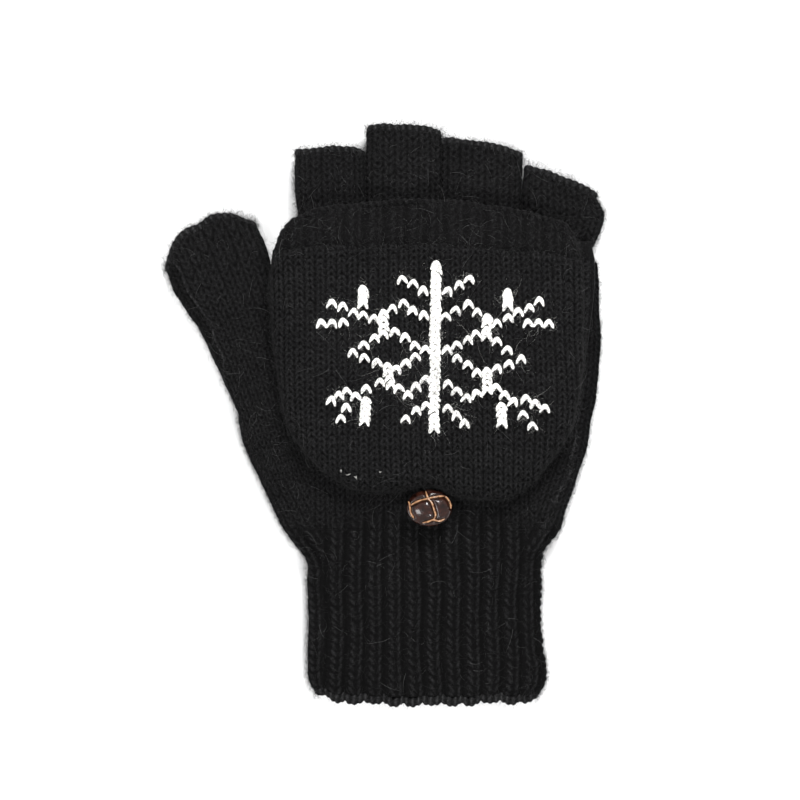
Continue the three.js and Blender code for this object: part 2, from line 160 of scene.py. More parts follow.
class Build:
    """Collects points, faces and a yarn value for each point, in mm, and makes one mesh object. The yarn value is
    painted shade: low in hollows and on undersides, high on crests.
    """

    def __init__(self):
        self.points, self.faces, self.values, self.slots = [], [], [], []
        self.count = 0

    def add(self, points, faces, values=None, slot=0):
        points = np.asarray(points, float).reshape(-1, 3)
        faces = np.asarray(faces, np.int64)
        if faces.shape[1] == 3:
            faces = np.column_stack([faces, np.full(len(faces), -1)])
        shifted = np.where(faces >= 0, faces + self.count, -1)
        self.points.append(points)
        self.faces.append(shifted)
        self.values.append(np.zeros(len(points)) if values is None else np.ravel(values))
        self.slots.append(np.full(len(faces), slot))
        self.count += len(points)

    def rings(self, rings, values=None, looped=False):
        """A skin over rings (rows, columns, 3) whose columns wrap. looped joins the last row to the first."""
        rings = np.asarray(rings, float)
        m, n = rings.shape[:2]
        index = np.arange(m * n).reshape(m, n)
        low = index if looped else index[:-1]
        high = np.roll(index, -1, axis=0) if looped else index[1:]
        quads = np.stack([low, np.roll(low, -1, axis=1), np.roll(high, -1, axis=1), high], axis=-1)
        points = rings.reshape(-1, 3)
        value = np.zeros(m * n) if values is None else np.ravel(values)
        parts = [quads.reshape(-1, 4)]
        if not looped:
            ends = np.array([rings[0].mean(0), rings[-1].mean(0)])
            points = np.vstack([points, ends])
            value = np.concatenate([value, [value[:n].mean(), value[-n:].mean()]])
            first, last = index[0], index[-1]
            none = np.full(n, -1)
            parts.append(np.column_stack([np.full(n, m * n), np.roll(first, -1), first, none]))
            parts.append(np.column_stack([np.full(n, m * n + 1), last, np.roll(last, -1), none]))
        faces = np.vstack(parts)
        a, b, c = points[faces[:, 0]], points[faces[:, 1]], points[faces[:, 2]]
        volume = np.einsum("ij,ij->i", np.cross(a, b), c).sum()
        d = points[faces[:, 3]]
        fourth = faces[:, 3] >= 0
        volume += np.einsum("ij,ij->i", np.cross(a, c), d)[fourth].sum()
        if volume < 0:
            faces = np.where(faces[:, 3:] >= 0, faces[:, ::-1], faces[:, [0, 2, 1, 3]])
        self.add(points, faces, value)

    def cord(self, line, side, up, count, shape):
        """A cord along an open line, swept by shape as in swept()."""
        rings, values = swept(line, side, up, count, shape)
        self.rings(np.transpose(rings, (1, 0, 2)), np.transpose(values))

    def make(self, name, materials):
        points = np.vstack(self.points) * MM
        faces = np.vstack(self.faces)
        sizes = np.where(faces[:, 3] >= 0, 4, 3)
        corners = faces[faces >= 0]
        mesh = bpy.data.meshes.new(name)
        mesh.vertices.add(len(points))
        mesh.vertices.foreach_set("co", points.astype(np.float32).ravel())
        mesh.loops.add(len(corners))
        mesh.loops.foreach_set("vertex_index", corners.astype(np.int32))
        mesh.polygons.add(len(faces))
        starts = np.concatenate([[0], np.cumsum(sizes)[:-1]])
        mesh.polygons.foreach_set("loop_start", starts.astype(np.int32))
        mesh.polygons.foreach_set("loop_total", sizes.astype(np.int32))
        mesh.polygons.foreach_set("material_index", np.concatenate(self.slots).astype(np.int32))
        mesh.polygons.foreach_set("use_smooth", np.full(len(faces), True))
        mesh.update(calc_edges=True)
        yarn = mesh.attributes.new("yarn", "FLOAT", "POINT")
        yarn.data.foreach_set("value", np.concatenate(self.values).astype(np.float32))
        mesh.validate()
        for material in materials:
            mesh.materials.append(material)
        return link(name, mesh)


def swept(line, side, up, count, shape):
    """count lines round a cord. shape(a) says how far they lie along side and up from line at the angle a
    round the cord, and their yarn value."""
    rings, values = [], []
    for k in range(count):
        across, rise, value = shape(2 * np.pi * k / count)
        rings.append(line + side * np.reshape(across, (-1, 1)) + up * np.reshape(rise, (-1, 1)))
        values.append(np.broadcast_to(value, len(line)))
    return np.array(rings), np.array(values)


# ---------------------------------------------------------------- knitted surfaces


def chance(column, row, seed):
    """A fixed scatter from -1 to 1 for each stitch."""
    return 2 * np.mod(np.sin(column * 12.9898 + row * 78.233 + seed * 3.7) * 43758.5453, 1.0) - 1


def jersey(u, v, wale=WALE, course=COURSE, seed=1):
    """Height from 0 to 1 of stocking stitch. u counts wales and v courses; each V has its foot at lower v."""
    column = np.floor(u)
    side = np.abs(u - column - 0.5) * wale
    best = np.zeros_like(u)
    half_long = 0.86 * course
    s = min(0.62, 0.44 * wale / (2 * half_long))
    c = math.sqrt(1 - s * s)
    half_wide = 0.66 * course * s
    hand = chance(column, 0.0, seed)
    for step in (-1, 0, 1):
        row = np.floor(v) + step
        odd = chance(column, row, seed)
        other = chance(row, column, seed + 0.5)
        dx = side - (0.255 + 0.02 * odd) * wale
        dy = (v - row - 0.5 - 0.10 * other - 0.05 * hand) * course
        along = dx * s + dy * c
        over = dx * c - dy * s
        f = np.clip(along / half_long, -1, 1)
        wide = half_wide * (1.0 - 0.18 * f + 0.08 * other)
        r = 1 - np.abs(f) ** 2.4 - (over / wide) ** 2
        h = np.sqrt(np.maximum(r, 0)) * (0.78 - 0.22 * f + 0.10 * odd)
        best = np.maximum(best, h)
    return best


def rib(u, v, pitch, course, seed=2):
    """Height and shade from 0 to 1 of ribbing. Each whole u begins with a groove, then a strip of purl,
    then one column of large stitches, whose left legs slant more than their right ones."""
    column = np.floor(u)
    aside = u - column
    groove = np.exp(-((np.minimum(aside, 1 - aside) * pitch / 0.6) ** 2))
    best = np.zeros_like(u)
    for place, tilt, long, wide, bold in ((0.40, -0.60, 1.6, 0.66, 1.0), (0.80, 0.28, 1.5, 0.60, 0.84)):
        s, c = math.sin(tilt), math.cos(tilt)
        for step in (-1, 0, 1):
            row = np.floor(v) + step
            odd = chance(column, row, seed + place)
            other = chance(row, column, seed + place)
            dx = (aside - place - 0.015 * odd) * pitch
            dy = (v - row - 0.5 - 0.12 * other) * course
            along, over = dx * s + dy * c, dx * c - dy * s
            f = np.clip(along / long, -1, 1)
            r = 1 - np.abs(f) ** 2.4 - (over / wide) ** 2
            best = np.maximum(best, np.sqrt(np.maximum(r, 0)) * bold * (0.82 + 0.2 * odd))
    purl = 0.40 + 0.07 * np.cos(2 * np.pi * (v + 0.2 * np.sin(2 * np.pi * aside)))
    height = (1 - 0.8 * groove) * np.maximum(purl - 0.04, 0.28 + 0.72 * best)
    return height, (1 - 0.75 * groove) * (0.12 + 0.78 * best + 0.2 * (purl - 0.33))


def section(half, rise, above, below, power=2.7):
    """Points round a flattened section from its left side over the top: across, up, distance along."""
    theta = np.linspace(0, np.pi, 601)
    x, w = -np.cos(theta), np.sin(theta)
    u = np.sign(x) * np.abs(x) ** (2 / power)
    w = w ** (2 / power)
    far = np.concatenate([[0], np.cumsum(np.hypot(np.diff(u * half), np.diff(w * rise)))])
    at = np.linspace(0, far[-1], above, endpoint=False)
    back = np.linspace(0, far[-1], below, endpoint=False)
    across = np.concatenate([np.interp(at, far, u), -np.interp(back, far, u)])
    up = np.concatenate([np.interp(at, far, w), -np.interp(back, far, w)])
    return across, up, np.concatenate([at, far[-1] + back]), far[-1]


def tube_grid(keys, step, width):
    """A flattened tube through keys (left x, left y, right x, right y, low z, high z, arch): its points,
    the distance of each from the left and right folds, and the distance along the tube."""
    keys = np.array(keys, float)
    middle = (keys[:, 0:2] + keys[:, 2:4]) / 2
    gone = distances(middle)
    t = np.linspace(0, gone[-1], max(6, int(gone[-1] / step)))
    k = curve(t, np.column_stack([gone, keys]))
    left, right = k[:, 0:2], k[:, 2:4]
    centre, half = (left + right) / 2, (right - left) / 2
    reach = np.linalg.norm(half, axis=1)
    level, rise = (k[:, 4] + k[:, 5]) / 2, (k[:, 5] - k[:, 4]) / 2
    way = np.column_stack([-half[:, 1], half[:, 0]]) / reach[:, None]
    above = int((width + 7) / step)
    below = int((width + 7) / (step * 1.45))
    grid = np.zeros((len(t), above + below, 3))
    from_left = np.zeros(grid.shape[:2])
    from_right = np.zeros(grid.shape[:2])
    for i in range(len(t)):
        u, w, far, total = section(reach[i], rise[i], above, below)
        push = k[i, 6] * (1 - np.abs(u) ** 3)
        grid[i, :, 0] = centre[i, 0] + half[i, 0] * u + way[i, 0] * push
        grid[i, :, 1] = centre[i, 1] + half[i, 1] * u + way[i, 1] * push
        grid[i, :, 2] = level[i] + rise[i] * w
        from_left[i] = np.minimum(far, 2 * total - far)
        from_right[i] = total - from_left[i]
    return grid, from_left, from_right, t


def knit_wall(build, grid, n, field, height, seed, uneven, shade, low_end=True, high_end=True):
    """A looped skin: the grid raised by the stitches outside, and plain WALL further in. An end that is
    left out joins the next piece."""
    soft = waves(grid, 14, seed + 50, 2) * uneven
    outer = grid + n * (height * 0.9 * (field - 0.6) + soft)[..., None]
    outer[..., 2] = np.maximum(outer[..., 2], 0.05 + 0.1 * field)
    along, around = field.shape
    rows = np.unique(np.linspace(0, along - 1, max(5, along // 8)).astype(int))
    inner = grid[rows] - n[rows] * WALL + n[rows] * soft[rows][..., None]
    parts, value = [outer], [shade]
    if high_end:
        parts.append(((outer[-1] + inner[-1]) / 2 + unit(grid[-1] - grid[-2]) * 0.4)[None])
        value.append(np.full((1, around), 0.5))
    parts.append(inner[::-1])
    value.append(np.full((len(inner), around), 0.35))
    if low_end:
        parts.append(((outer[0] + inner[0]) / 2 + unit(grid[0] - grid[1]) * 0.4)[None])
        value.append(np.full((1, around), 0.5))
    build.rings(np.concatenate(parts), np.concatenate(value), looped=True)
    return outer


def outward(grid):
    n = normals_of(grid, True)
    if np.sum(n[:, :, 2] * (grid[:, :, 2] - grid[:, :, 2].mean())) < 0:
        n = -n
    return n


def knit_tube(build, keys, wales, seed, crease):
    """A tube of jersey with a wall, open at both ends, and a crease that far from its left side, with a painted
    highlight along it and painted shade beyond it.
    Returns its outer points and normals."""
    keys = np.array(keys, float)
    width = np.linalg.norm(keys[:, 2:4] - keys[:, 0:2], axis=1).max()
    grid, from_left, from_right, t = tube_grid(keys, 0.36, width)
    n = outward(grid)
    u = from_left / (from_left + from_right) * wales
    v = np.broadcast_to((t / COURSE)[:, None], u.shape)
    field = jersey(u, v, seed=seed)
    shade = 0.05 + 0.74 * field
    if crease:
        face = grid[..., 2] > TOP / 2
        inset = crease * smooth(t, 0.25 * t[-1], 0.75 * t[-1])[:, None]
        beyond = inset + 0.6 * waves(grid, 12, 61) - from_left
        field = field - 0.7 * smooth(beyond, 0, 0.9) * face
        # Painted highlight along the crease where light catches its ridge, and painted shade on the lowered strip
        # beyond it.
        crease_highlight = 0.45 * np.exp(-((beyond / 0.5) ** 2)) * face
        shade = shade * (1 - 0.4 * smooth(beyond, 0.2, 0.9) * face) + crease_highlight
    return knit_wall(build, grid, n, field, 0.7, seed, 0.2, shade), n


def bound_edge(build, ring, way, width, height, stitch_length, seed):
    """A cast-off edge: a rolled band along a closed ring of points, with the slanted loops of its chain."""
    ring = np.asarray(ring, float)
    gap = np.linalg.norm(np.roll(ring, -1, axis=0) - ring, axis=1)
    far = np.concatenate([[0], np.cumsum(gap)])
    count = int(far[-1] / 0.28)
    at = np.linspace(0, far[-1], count, endpoint=False)
    closed = np.vstack([ring, ring[:1]])
    line = np.column_stack([np.interp(at, far, closed[:, k]) for k in range(3)])
    way = np.asarray(way, float) / np.linalg.norm(way)
    out = unit(np.cross(unit(np.roll(line, -1, axis=0) - np.roll(line, 1, axis=0)), way))
    if np.sum(out * (line - line.mean(0))) < 0:
        out = -out
    loops = round(far[-1] / stitch_length)
    phase = 2 * np.pi * loops * np.arange(count) / count
    sway = waves(line, 9, seed) * 0.25

    def shape(a):
        bump = 0.5 + 0.5 * np.cos(phase + 1.3 * math.cos(a))
        grow = 0.72 + 0.28 * bump**0.7
        across = math.cos(a) * width / 2 * grow + sway
        # Painted shade: lighter on the loops' crests, darker between them.
        return across, math.sin(a) * height / 2 * grow + 0.4 * sway, 0.3 + 0.7 * bump

    build.rings(*swept(line, out, way, 14, shape), looped=True)
    return line, out


def strands(build, points, normals, count, seed, length=(1.2, 4.0), thick=(0.022, 0.045), lift=0.5, slot=1,
            bits=6, curl=1.0, edge_bias=1.5):
    """Loose wool fibres, each a thin three-sided closed strand that starts on the surface."""
    rng = np.random.default_rng(seed)
    flat, ways = points.reshape(-1, 3), normals.reshape(-1, 3)
    likely = np.cumsum((1.25 - np.abs(ways[:, 2])) ** edge_bias)
    pick = np.searchsorted(likely, rng.uniform(0, likely[-1], count))
    pick = np.minimum(pick, len(flat) - 1)
    start, n = flat[pick], ways[pick]
    t = np.cross(n, rng.normal(size=(count, 3)))
    t /= np.maximum(np.linalg.norm(t, axis=1, keepdims=True), 1e-9)
    b = np.cross(n, t)
    size = rng.uniform(length[0], length[1], count)
    rise = rng.uniform(0.05, lift, count)
    bend = rng.normal(0, 0.9, count) * curl
    radius = rng.uniform(thick[0], thick[1], count)
    f = np.linspace(0, 1, bits)
    angle = bend[:, None] * f[None, :] ** 1.2
    step = size[:, None] / (bits - 1)
    dx, dy = np.cos(angle) * step, np.sin(angle) * step
    px, py = np.cumsum(dx, axis=1) - dx[:, :1], np.cumsum(dy, axis=1) - dy[:, :1]
    pz = (np.sin(f * np.pi * rng.uniform(0.5, 1.1, count)[:, None]) * rise[:, None] * size[:, None]) - 0.1
    line = (
        start[:, None, :]
        + t[:, None, :] * px[..., None]
        + b[:, None, :] * py[..., None]
        + n[:, None, :] * pz[..., None]
    )
    side1 = b[:, None, :] * radius[:, None, None]
    side2 = n[:, None, :] * radius[:, None, None]
    line[..., 2] = np.maximum(line[..., 2], 0.1)
    taper = np.linspace(1, 0.35, bits)[None, :, None]
    corners = []
    for k in range(3):
        a = 2 * np.pi * k / 3
        corners.append(line + (side1 * math.cos(a) + side2 * math.sin(a)) * taper)
    body = np.stack(corners, axis=2)  # strand, bit, corner, xyz
    base = (np.arange(count) * bits * 3)[:, None, None]
    row = np.arange(bits - 1)[None, :, None] * 3
    k = np.arange(3)[None, None, :]
    k2 = (k + 1) % 3
    quads = np.stack([base + row + k, base + row + k2, base + row + 3 + k2, base + row + 3 + k], axis=-1)
    ends = (np.arange(count) * bits * 3)[:, None]
    low = np.column_stack([ends + 2, ends + 1, ends, np.full((count, 1), -1)])
    top = ends + (bits - 1) * 3
    high = np.column_stack([top, top + 1, top + 2, np.full((count, 1), -1)])
    faces = np.vstack([quads.reshape(-1, 4), low, high])
    build.add(body.reshape(-1, 3), faces, np.full(count * bits * 3, 0.8), slot)


def halo(build, points, normals, count, seed):
    """The short dense down that stands out round the edges of the wool."""
    strands(build, points, normals, count, seed, length=(0.6, 2.6), thick=(0.018, 0.032), lift=0.8, bits=5,
            edge_bias=6)


def stray(build, points, normals, count, seed):
    """A few long, pale, curly hairs caught in the wool."""
    strands(build, points, normals, count, seed, length=(2.5, 9.0), thick=(0.018, 0.034), lift=0.12, slot=2,
            bits=14, curl=2.4, edge_bias=0)


# ---------------------------------------------------------------- materials


def material(name):
    m = bpy.data.materials.new(name)
    m.use_nodes = True
    nodes, links = m.node_tree.nodes, m.node_tree.links
    nodes.clear()
    out = nodes.new("ShaderNodeOutputMaterial")
    shader = nodes.new("ShaderNodeBsdfPrincipled")
    links.new(shader.outputs[0], out.inputs[0])
    return m, nodes, links, shader


def noise_node(nodes, links, source, scale, detail=3.0, rough=0.6):
    n = nodes.new("ShaderNodeTexNoise")
    n.inputs["Scale"].default_value = scale
    n.inputs["Detail"].default_value = detail
    n.inputs["Roughness"].default_value = rough
    links.new(source, n.inputs["Vector"])
    return n.outputs["Fac"]


def ramp(nodes, links, fac, stops):
    r = nodes.new("ShaderNodeValToRGB")
    while len(r.color_ramp.elements) < len(stops):
        r.color_ramp.elements.new(0.5)
    for e, (at, colour) in zip(r.color_ramp.elements, stops):
        e.position = at
        e.color = (*colour, 1)
    links.new(fac, r.inputs[0])
    return r.outputs[0]


def mix(nodes, links, fac, a, b, kind="MIX"):
    """Two colours mixed; each is a tuple or a socket."""
    m = nodes.new("ShaderNodeMix")
    m.data_type = "RGBA"
    m.blend_type = kind
    if isinstance(fac, float):
        m.inputs[0].default_value = fac
    else:
        links.new(fac, m.inputs[0])
    for socket, value in ((m.inputs[6], a), (m.inputs[7], b)):
        if isinstance(value, tuple):
            socket.default_value = (*value, 1)
        else:
            links.new(value, socket)
    return m.outputs[2]


def roughen(nodes, links, shader, height, strength, distance):
    b = nodes.new("ShaderNodeBump")
    b.inputs["Strength"].default_value = strength
    b.inputs["Distance"].default_value = distance
    links.new(height, b.inputs["Height"])
    links.new(b.outputs[0], shader.inputs["Normal"])


def wool(name, dark, light, sheen, bump=0.35, tint=(0.7, 0.7, 0.72)):
    """Spun wool: fibres along the yarn and a soft sheen, with painted shade and light from the yarn value: darker
    in the hollows between stitches, lighter on their crests.
    """
    m, nodes, links, shader = material(name)
    where = nodes.new("ShaderNodeTexCoord").outputs["Object"]
    yarn = nodes.new("ShaderNodeAttribute")
    yarn.attribute_name = "yarn"
    fibre = noise_node(nodes, links, where, 3600, 3.0, 0.7)
    ply = noise_node(nodes, links, where, 1500, 2.0, 0.5)
    cloud = noise_node(nodes, links, where, 60, 3.0, 0.6)
    speck = noise_node(nodes, links, where, 2600, 1.0, 0.5)
    middle = tuple(0.5 * a + 0.5 * b for a, b in zip(dark, light))
    bright = tuple(1.9 * a for a in light)
    # Painted shade and painted highlight: dark where the yarn value is low in hollows, bright at its top on
    # crests and highlights.
    colour = ramp(nodes, links, yarn.outputs["Fac"], [(0.0, dark), (0.4, middle), (0.8, light), (1.0, bright)])
    shade = ramp(nodes, links, fibre, [(0.34, (0.3, 0.3, 0.3)), (0.68, (1.75, 1.75, 1.77))])
    colour = mix(nodes, links, 1.0, colour, shade, "MULTIPLY")
    twist = ramp(nodes, links, ply, [(0.36, (0.45, 0.45, 0.45)), (0.66, (1.6, 1.6, 1.6))])
    colour = mix(nodes, links, 1.0, colour, twist, "MULTIPLY")
    patch = ramp(nodes, links, cloud, [(0.3, (0.86, 0.86, 0.87)), (0.7, (1.12, 1.12, 1.11))])
    colour = mix(nodes, links, 1.0, colour, patch, "MULTIPLY")
    pale = ramp(nodes, links, speck, [(0.76, (0.0, 0.0, 0.0)), (0.9, (0.1, 0.1, 0.1))])
    colour = mix(nodes, links, 0.5, colour, pale, "ADD")
    links.new(colour, shader.inputs["Base Color"])
    roughness = ramp(nodes, links, ply, [(0.2, (0.82,) * 3), (0.8, (0.98,) * 3)])
    links.new(roughness, shader.inputs["Roughness"])
    shader.inputs["Sheen Weight"].default_value = sheen
    shader.inputs["Sheen Roughness"].default_value = 0.55
    shader.inputs["Sheen Tint"].default_value = (*tint, 1)
    shader.inputs["Specular IOR Level"].default_value = 0.08
    roughen(nodes, links, shader, mix(nodes, links, 0.45, fibre, ply), bump, 0.0003)
    return m


BLACK = wool("black_wool", (0.0006, 0.0006, 0.0006), (0.0085, 0.0085, 0.0087), 0.002)
EDGE = wool("black_edge", (0.0008, 0.0008, 0.0008), (0.0104, 0.0104, 0.0106), 0.004)
CORD = wool("black_cord", (0.002, 0.002, 0.002), (0.010, 0.010, 0.0105), 0.01, 0.2)
WHITE = wool("white_wool", (0.62, 0.61, 0.58), (0.90, 0.89, 0.85), 0.15, 0.3, (1, 1, 1))


def plain_fibre(name, colour, rough=0.7):
    m, nodes, links, shader = material(name)
    where = nodes.new("ShaderNodeTexCoord").outputs["Object"]
    n = noise_node(nodes, links, where, 300, 2.0)
    dim = tuple(c * 0.6 for c in colour)
    c = ramp(nodes, links, n, [(0.3, dim), (0.7, colour)])
    links.new(c, shader.inputs["Base Color"])
    shader.inputs["Roughness"].default_value = rough
    return m


FIBRE = plain_fibre("black_fibre", (0.012, 0.012, 0.0125), 0.95)
GREY_FIBRE = plain_fibre("grey_fibre", (0.13, 0.13, 0.13))
PALE_FIBRE = plain_fibre("white_fibre", (0.8, 0.79, 0.75))


def polished(name, dark, light, rough, coat, scale, speck):
    """Moulded, mottled leather-look plastic with a gloss and fine scratches, and painted shade from the yarn
    value in its grooves and under its straps.
    """
    m, nodes, links, shader = material(name)
    where = nodes.new("ShaderNodeTexCoord").outputs["Object"]
    deep = nodes.new("ShaderNodeAttribute")
    deep.attribute_name = "yarn"
    cloud = noise_node(nodes, links, where, scale, 4.0, 0.6)
    colour = ramp(nodes, links, cloud, [(0.35, dark), (0.68, light)])
    # Painted shade: the colour is darker where the yarn value is low.
    shade = ramp(nodes, links, deep.outputs["Fac"], [(0.0, (0.35, 0.32, 0.3)), (0.6, (1.0, 1.0, 1.0))])
    colour = mix(nodes, links, 0.85, colour, shade, "MULTIPLY")
    links.new(colour, shader.inputs["Base Color"])
    fine = noise_node(nodes, links, where, scale * 7, 3.0, 0.7)
    roughness = ramp(nodes, links, fine, [(0.3, (rough,) * 3), (0.75, (rough + speck,) * 3)])
    links.new(roughness, shader.inputs["Roughness"])
    shader.inputs["Specular IOR Level"].default_value = 0.15
    shader.inputs["Coat Weight"].default_value = coat
    shader.inputs["Coat Roughness"].default_value = 0.08
    roughen(nodes, links, shader, fine, 0.25, 0.0002)
    return m


BROWN = polished("button_brown", (0.003, 0.001, 0.0008), (0.034, 0.010, 0.006), 0.12, 0.7, 520, 0.14)
TAN = polished("button_tan", (0.10, 0.04, 0.016), (0.50, 0.27, 0.14), 0.28, 0.5, 1300, 0.2)

# ---------------------------------------------------------------- cuff and hand, knitted in one

RIB_PITCH = 6.5
RIB_START = 26.7  # the first groove of the cuff's ribs lies at minus this
CUFF_COURSE = 2.57
CUFF_END = -94.2
SPLIT_Y = -38.0  # where cuff and hand meet

# Outline of cuff and hand: y, left x, right x
BODY = [
    (-93.6, -23.4, 50.9), (-91, -25.1, 52.8), (-85, -26.5, 53.9), (-78, -26.3, 52.6),
    (-70, -26.3, 52.2), (-58, -26.5, 52.1), (-50, -27.0, 52.1), (-46, -29.1, 52.7),
    (-42, -31.8, 55.5), (-38, -34.3, 58.2), (-31, -37.8, 60.9), (-22, -42.3, 63.9),
    (-14, -45.8, 66.9), (-2, -49.1, 69.1), (10, -47, 71.2), (22, -42.5, 72.0),
    (35, -37.5, 71.7), (46, -34, 71.6), (50, -33, 71.3), (51.0, -32.8, 71.0),
    (52.2, -32.6, 68.2), (53.2, -32.4, 67.4), (58, -31.0, 67.0), (64, -29.8, 66.8),
]
# The fold line beside which the palm layer shows: y, x
CREASE = [(-60, 51.4), (-43.7, 52.7), (-35.7, 54.2), (-28, 57.2), (-19.7, 61.6), (-13, 62.9), (-4.3, 64.3),
          (10, 65.3), (40, 65.6), (80, 65.6)]


def crease_x(y):
    return curve(y.ravel(), CREASE)[:, 0].reshape(y.shape)


def body_shape(grid):
    """Lowers the back of the hand outside the crease, where the palm layer shows past it."""
    x, y, z = grid[..., 0], grid[..., 1], grid[..., 2]
    beyond = x - crease_x(y)
    on = smooth(y, -46, -40)
    top = np.maximum(z - TOP / 2, 0) / (TOP / 2)
    drop = smooth(beyond, -0.2, 1.0) * on * 1.9 + smooth(beyond, -9, -1) * on * 0.4
    ridge = np.exp(-((beyond + 0.5) / 0.6) ** 2) * 0.7 * on
    out = grid.copy()
    out[..., 2] = z - drop * top + ridge * smooth(top, 0.5, 0.8)
    out[..., 2] = (out[..., 2] - TOP / 2) * (1 - smooth(y, 58, 64) * 0.9 * 0.25) + TOP / 2
    return out


def body_field(grid, from_left, from_right):
    """The knitting of the body: ribs on the cuff, jersey above, edge wales along both sides."""
    x, y = grid[..., 0], grid[..., 1]
    lean = waves(grid, 30, 17) * 0.35
    u_rib = (x + RIB_START + lean) / RIB_PITCH
    left_rib = (from_left + lean) / RIB_PITCH
    right_rib = 12.5 - from_right / RIB_PITCH
    low_side = smooth(x, -22, -20)
    high_side = smooth(x, 46, 48)
    v_cuff = y / CUFF_COURSE + waves(grid, 60, 18) * 0.25
    parts = [rib(across, v_cuff, RIB_PITCH, CUFF_COURSE) for across in (u_rib, left_rib, right_rib)]
    shares = (low_side * (1 - high_side), 1 - low_side, high_side)
    ribs, rib_shade = (sum(part[k] * share for part, share in zip(parts, shares)) for k in (0, 1))
    middle = jersey(2 * u_rib, y / COURSE, seed=7)
    left = jersey(from_left / 3.3, (-0.40 * x + 0.917 * y) / COURSE, seed=8)
    right = jersey(from_right / 3.3, (0.25 * x + 0.968 * y) / COURSE, seed=9)
    wide_left = 1 - smooth(x + 26 - 0.1 * (y + 40), -1, 1)
    wide_right = smooth(x, 50, 52)
    plain = middle * (1 - wide_left) * (1 - wide_right) + left * wide_left + right * wide_right
    fade_from = -37 - 4 * smooth(np.abs(x - 14) / 30, 0.6, 1.1)
    fade = smooth(y, fade_from, fade_from + 8)
    field = ribs * (1 - fade) + plain * fade
    # Painted highlight: a light line along the crease where light catches its ridge.
    crease_highlight = np.exp(-((x - crease_x(y) + 0.3) / 0.55) ** 2) * smooth(y, -46, -40) * (grid[..., 2] > TOP / 2)
    shade = rib_shade * (1 - fade) + (0.05 + 0.74 * plain) * fade + crease_highlight * (0.45 + 0.3 * waves(grid, 6, 21))
    return field, shade, (1 - fade) + 0.7 * fade


body_keys = [(left, y, right, y, 0.0, TOP, 0) for y, left, right in BODY]
body_grid, from_left, from_right, _ = tube_grid(body_keys, STEP, 121)
body_grid = body_shape(body_grid)
body_n = outward(body_grid)
body_f, body_shade, body_h = body_field(body_grid, from_left, from_right)
split = int(np.argmin(np.abs(body_grid[:, 0, 1] - SPLIT_Y)))

for name, rows, node, fuzz, high_end, low_end in (
    ("cuff_knit", slice(0, split + 1), "cuff_rib", 2600, False, True),
    ("hand_knit", slice(split, None), "hand_shell", 4600, True, False),
):
    build = Build()
    skin = knit_wall(build, body_grid[rows], body_n[rows], body_f[rows], body_h[rows], 3, 0.25,
                     body_shade[rows], low_end, high_end)
    strands(build, skin, body_n[rows], fuzz, len(name) + fuzz)
    halo(build, skin, body_n[rows], fuzz, len(name) + 9)
    stray(build, skin, body_n[rows], fuzz // 22, len(name) + 7)
    if name == "hand_knit":
        near = (np.abs(skin[..., 0] + 0.3 - crease_x(skin[..., 1])) < 0.8) & (skin[..., 2] > TOP / 2)
        strands(build, skin[near], body_n[rows][near], 150, 61, length=(1.0, 3.6), thick=(0.014, 0.026),
                lift=0.2, slot=2, bits=9, curl=2.2, edge_bias=0)
    piece = build.make(name, [BLACK, FIBRE, GREY_FIBRE])
    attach(piece, "hand")
    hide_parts(node)


def end_ring(left, right, arch, low, high, count=400):
    """A closed ring of points round a section whose two sides are at left and right."""
    half = (np.array(right) - np.array(left)) / 2
    reach = np.linalg.norm(half)
    u, w, _, _ = section(reach, (high - low) / 2, count // 2, count // 2)
    ring = np.zeros((len(u), 3))
    ring[:, 0] = (left[0] + right[0]) / 2 + half[0] * u
    ring[:, 1] = (left[1] + right[1]) / 2 + half[1] * u
    ring[:, 2] = (low + high) / 2 + (high - low) / 2 * w
    way = np.array([-half[1], half[0]]) / reach
    ring[:, :2] += way * (arch * (1 - np.abs(u) ** 3))[:, None]
    return ring, np.array([way[0], way[1], 0])


edge = Build()
ring, way = end_ring((-22.4, CUFF_END), (49.8, CUFF_END), 0, 1.0, TOP - 1.0, 900)
scallop = np.abs(np.sin(np.pi * (ring[:, 0] + RIB_START) / RIB_PITCH)) ** 0.7
scallop *= 1 + 0.3 * np.sin(ring[:, 0] * 0.31)
aside = (ring[:, 0] - 13.7) / 36.5
corner = 2.6 * smooth(-aside, 0.72, 1.0) + 1.5 * smooth(aside, 0.84, 1.0)
ring[:, 1] -= 1.3 * scallop - corner + 0.35 * np.sin(ring[:, 0] * 0.12)
line, out = bound_edge(edge, ring, way, 2.4, 3.4, 2.15, 5)
strands(edge, line, out, 900, 32, lift=0.8)
edge_piece = edge.make("cuff_cast_on_edge", [EDGE, FIBRE])
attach(edge_piece, "hand")
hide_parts("cuff_edge")

# ---------------------------------------------------------------- thumb

# Each row of a tube: left x, left y, right x, right y, low z, high z, arch
THUMB = [
    (-40.0, -22.0, -21.0, -18.0, 0.6, 8.8, 0),
    (-45.3, -10.0, -25.0, -5.0, 0.4, 9.0, 0),
    (-51.0, 4.0, -28.5, 10.0, 0.2, 9.2, 0),
    (-57.4, 18.5, -32.0, 25.0, 0.2, 9.2, 0),
    (-64.3, 31.2, -35.5, 39.0, 0.2, 9.2, 0),
    (-71.8, 42.6, -39.4, 53.2, 0.2, 9.2, 2.4),
    (-73.4, 47.4, -43.0, 63.4, 0.2, 9.2, 8.0),
]


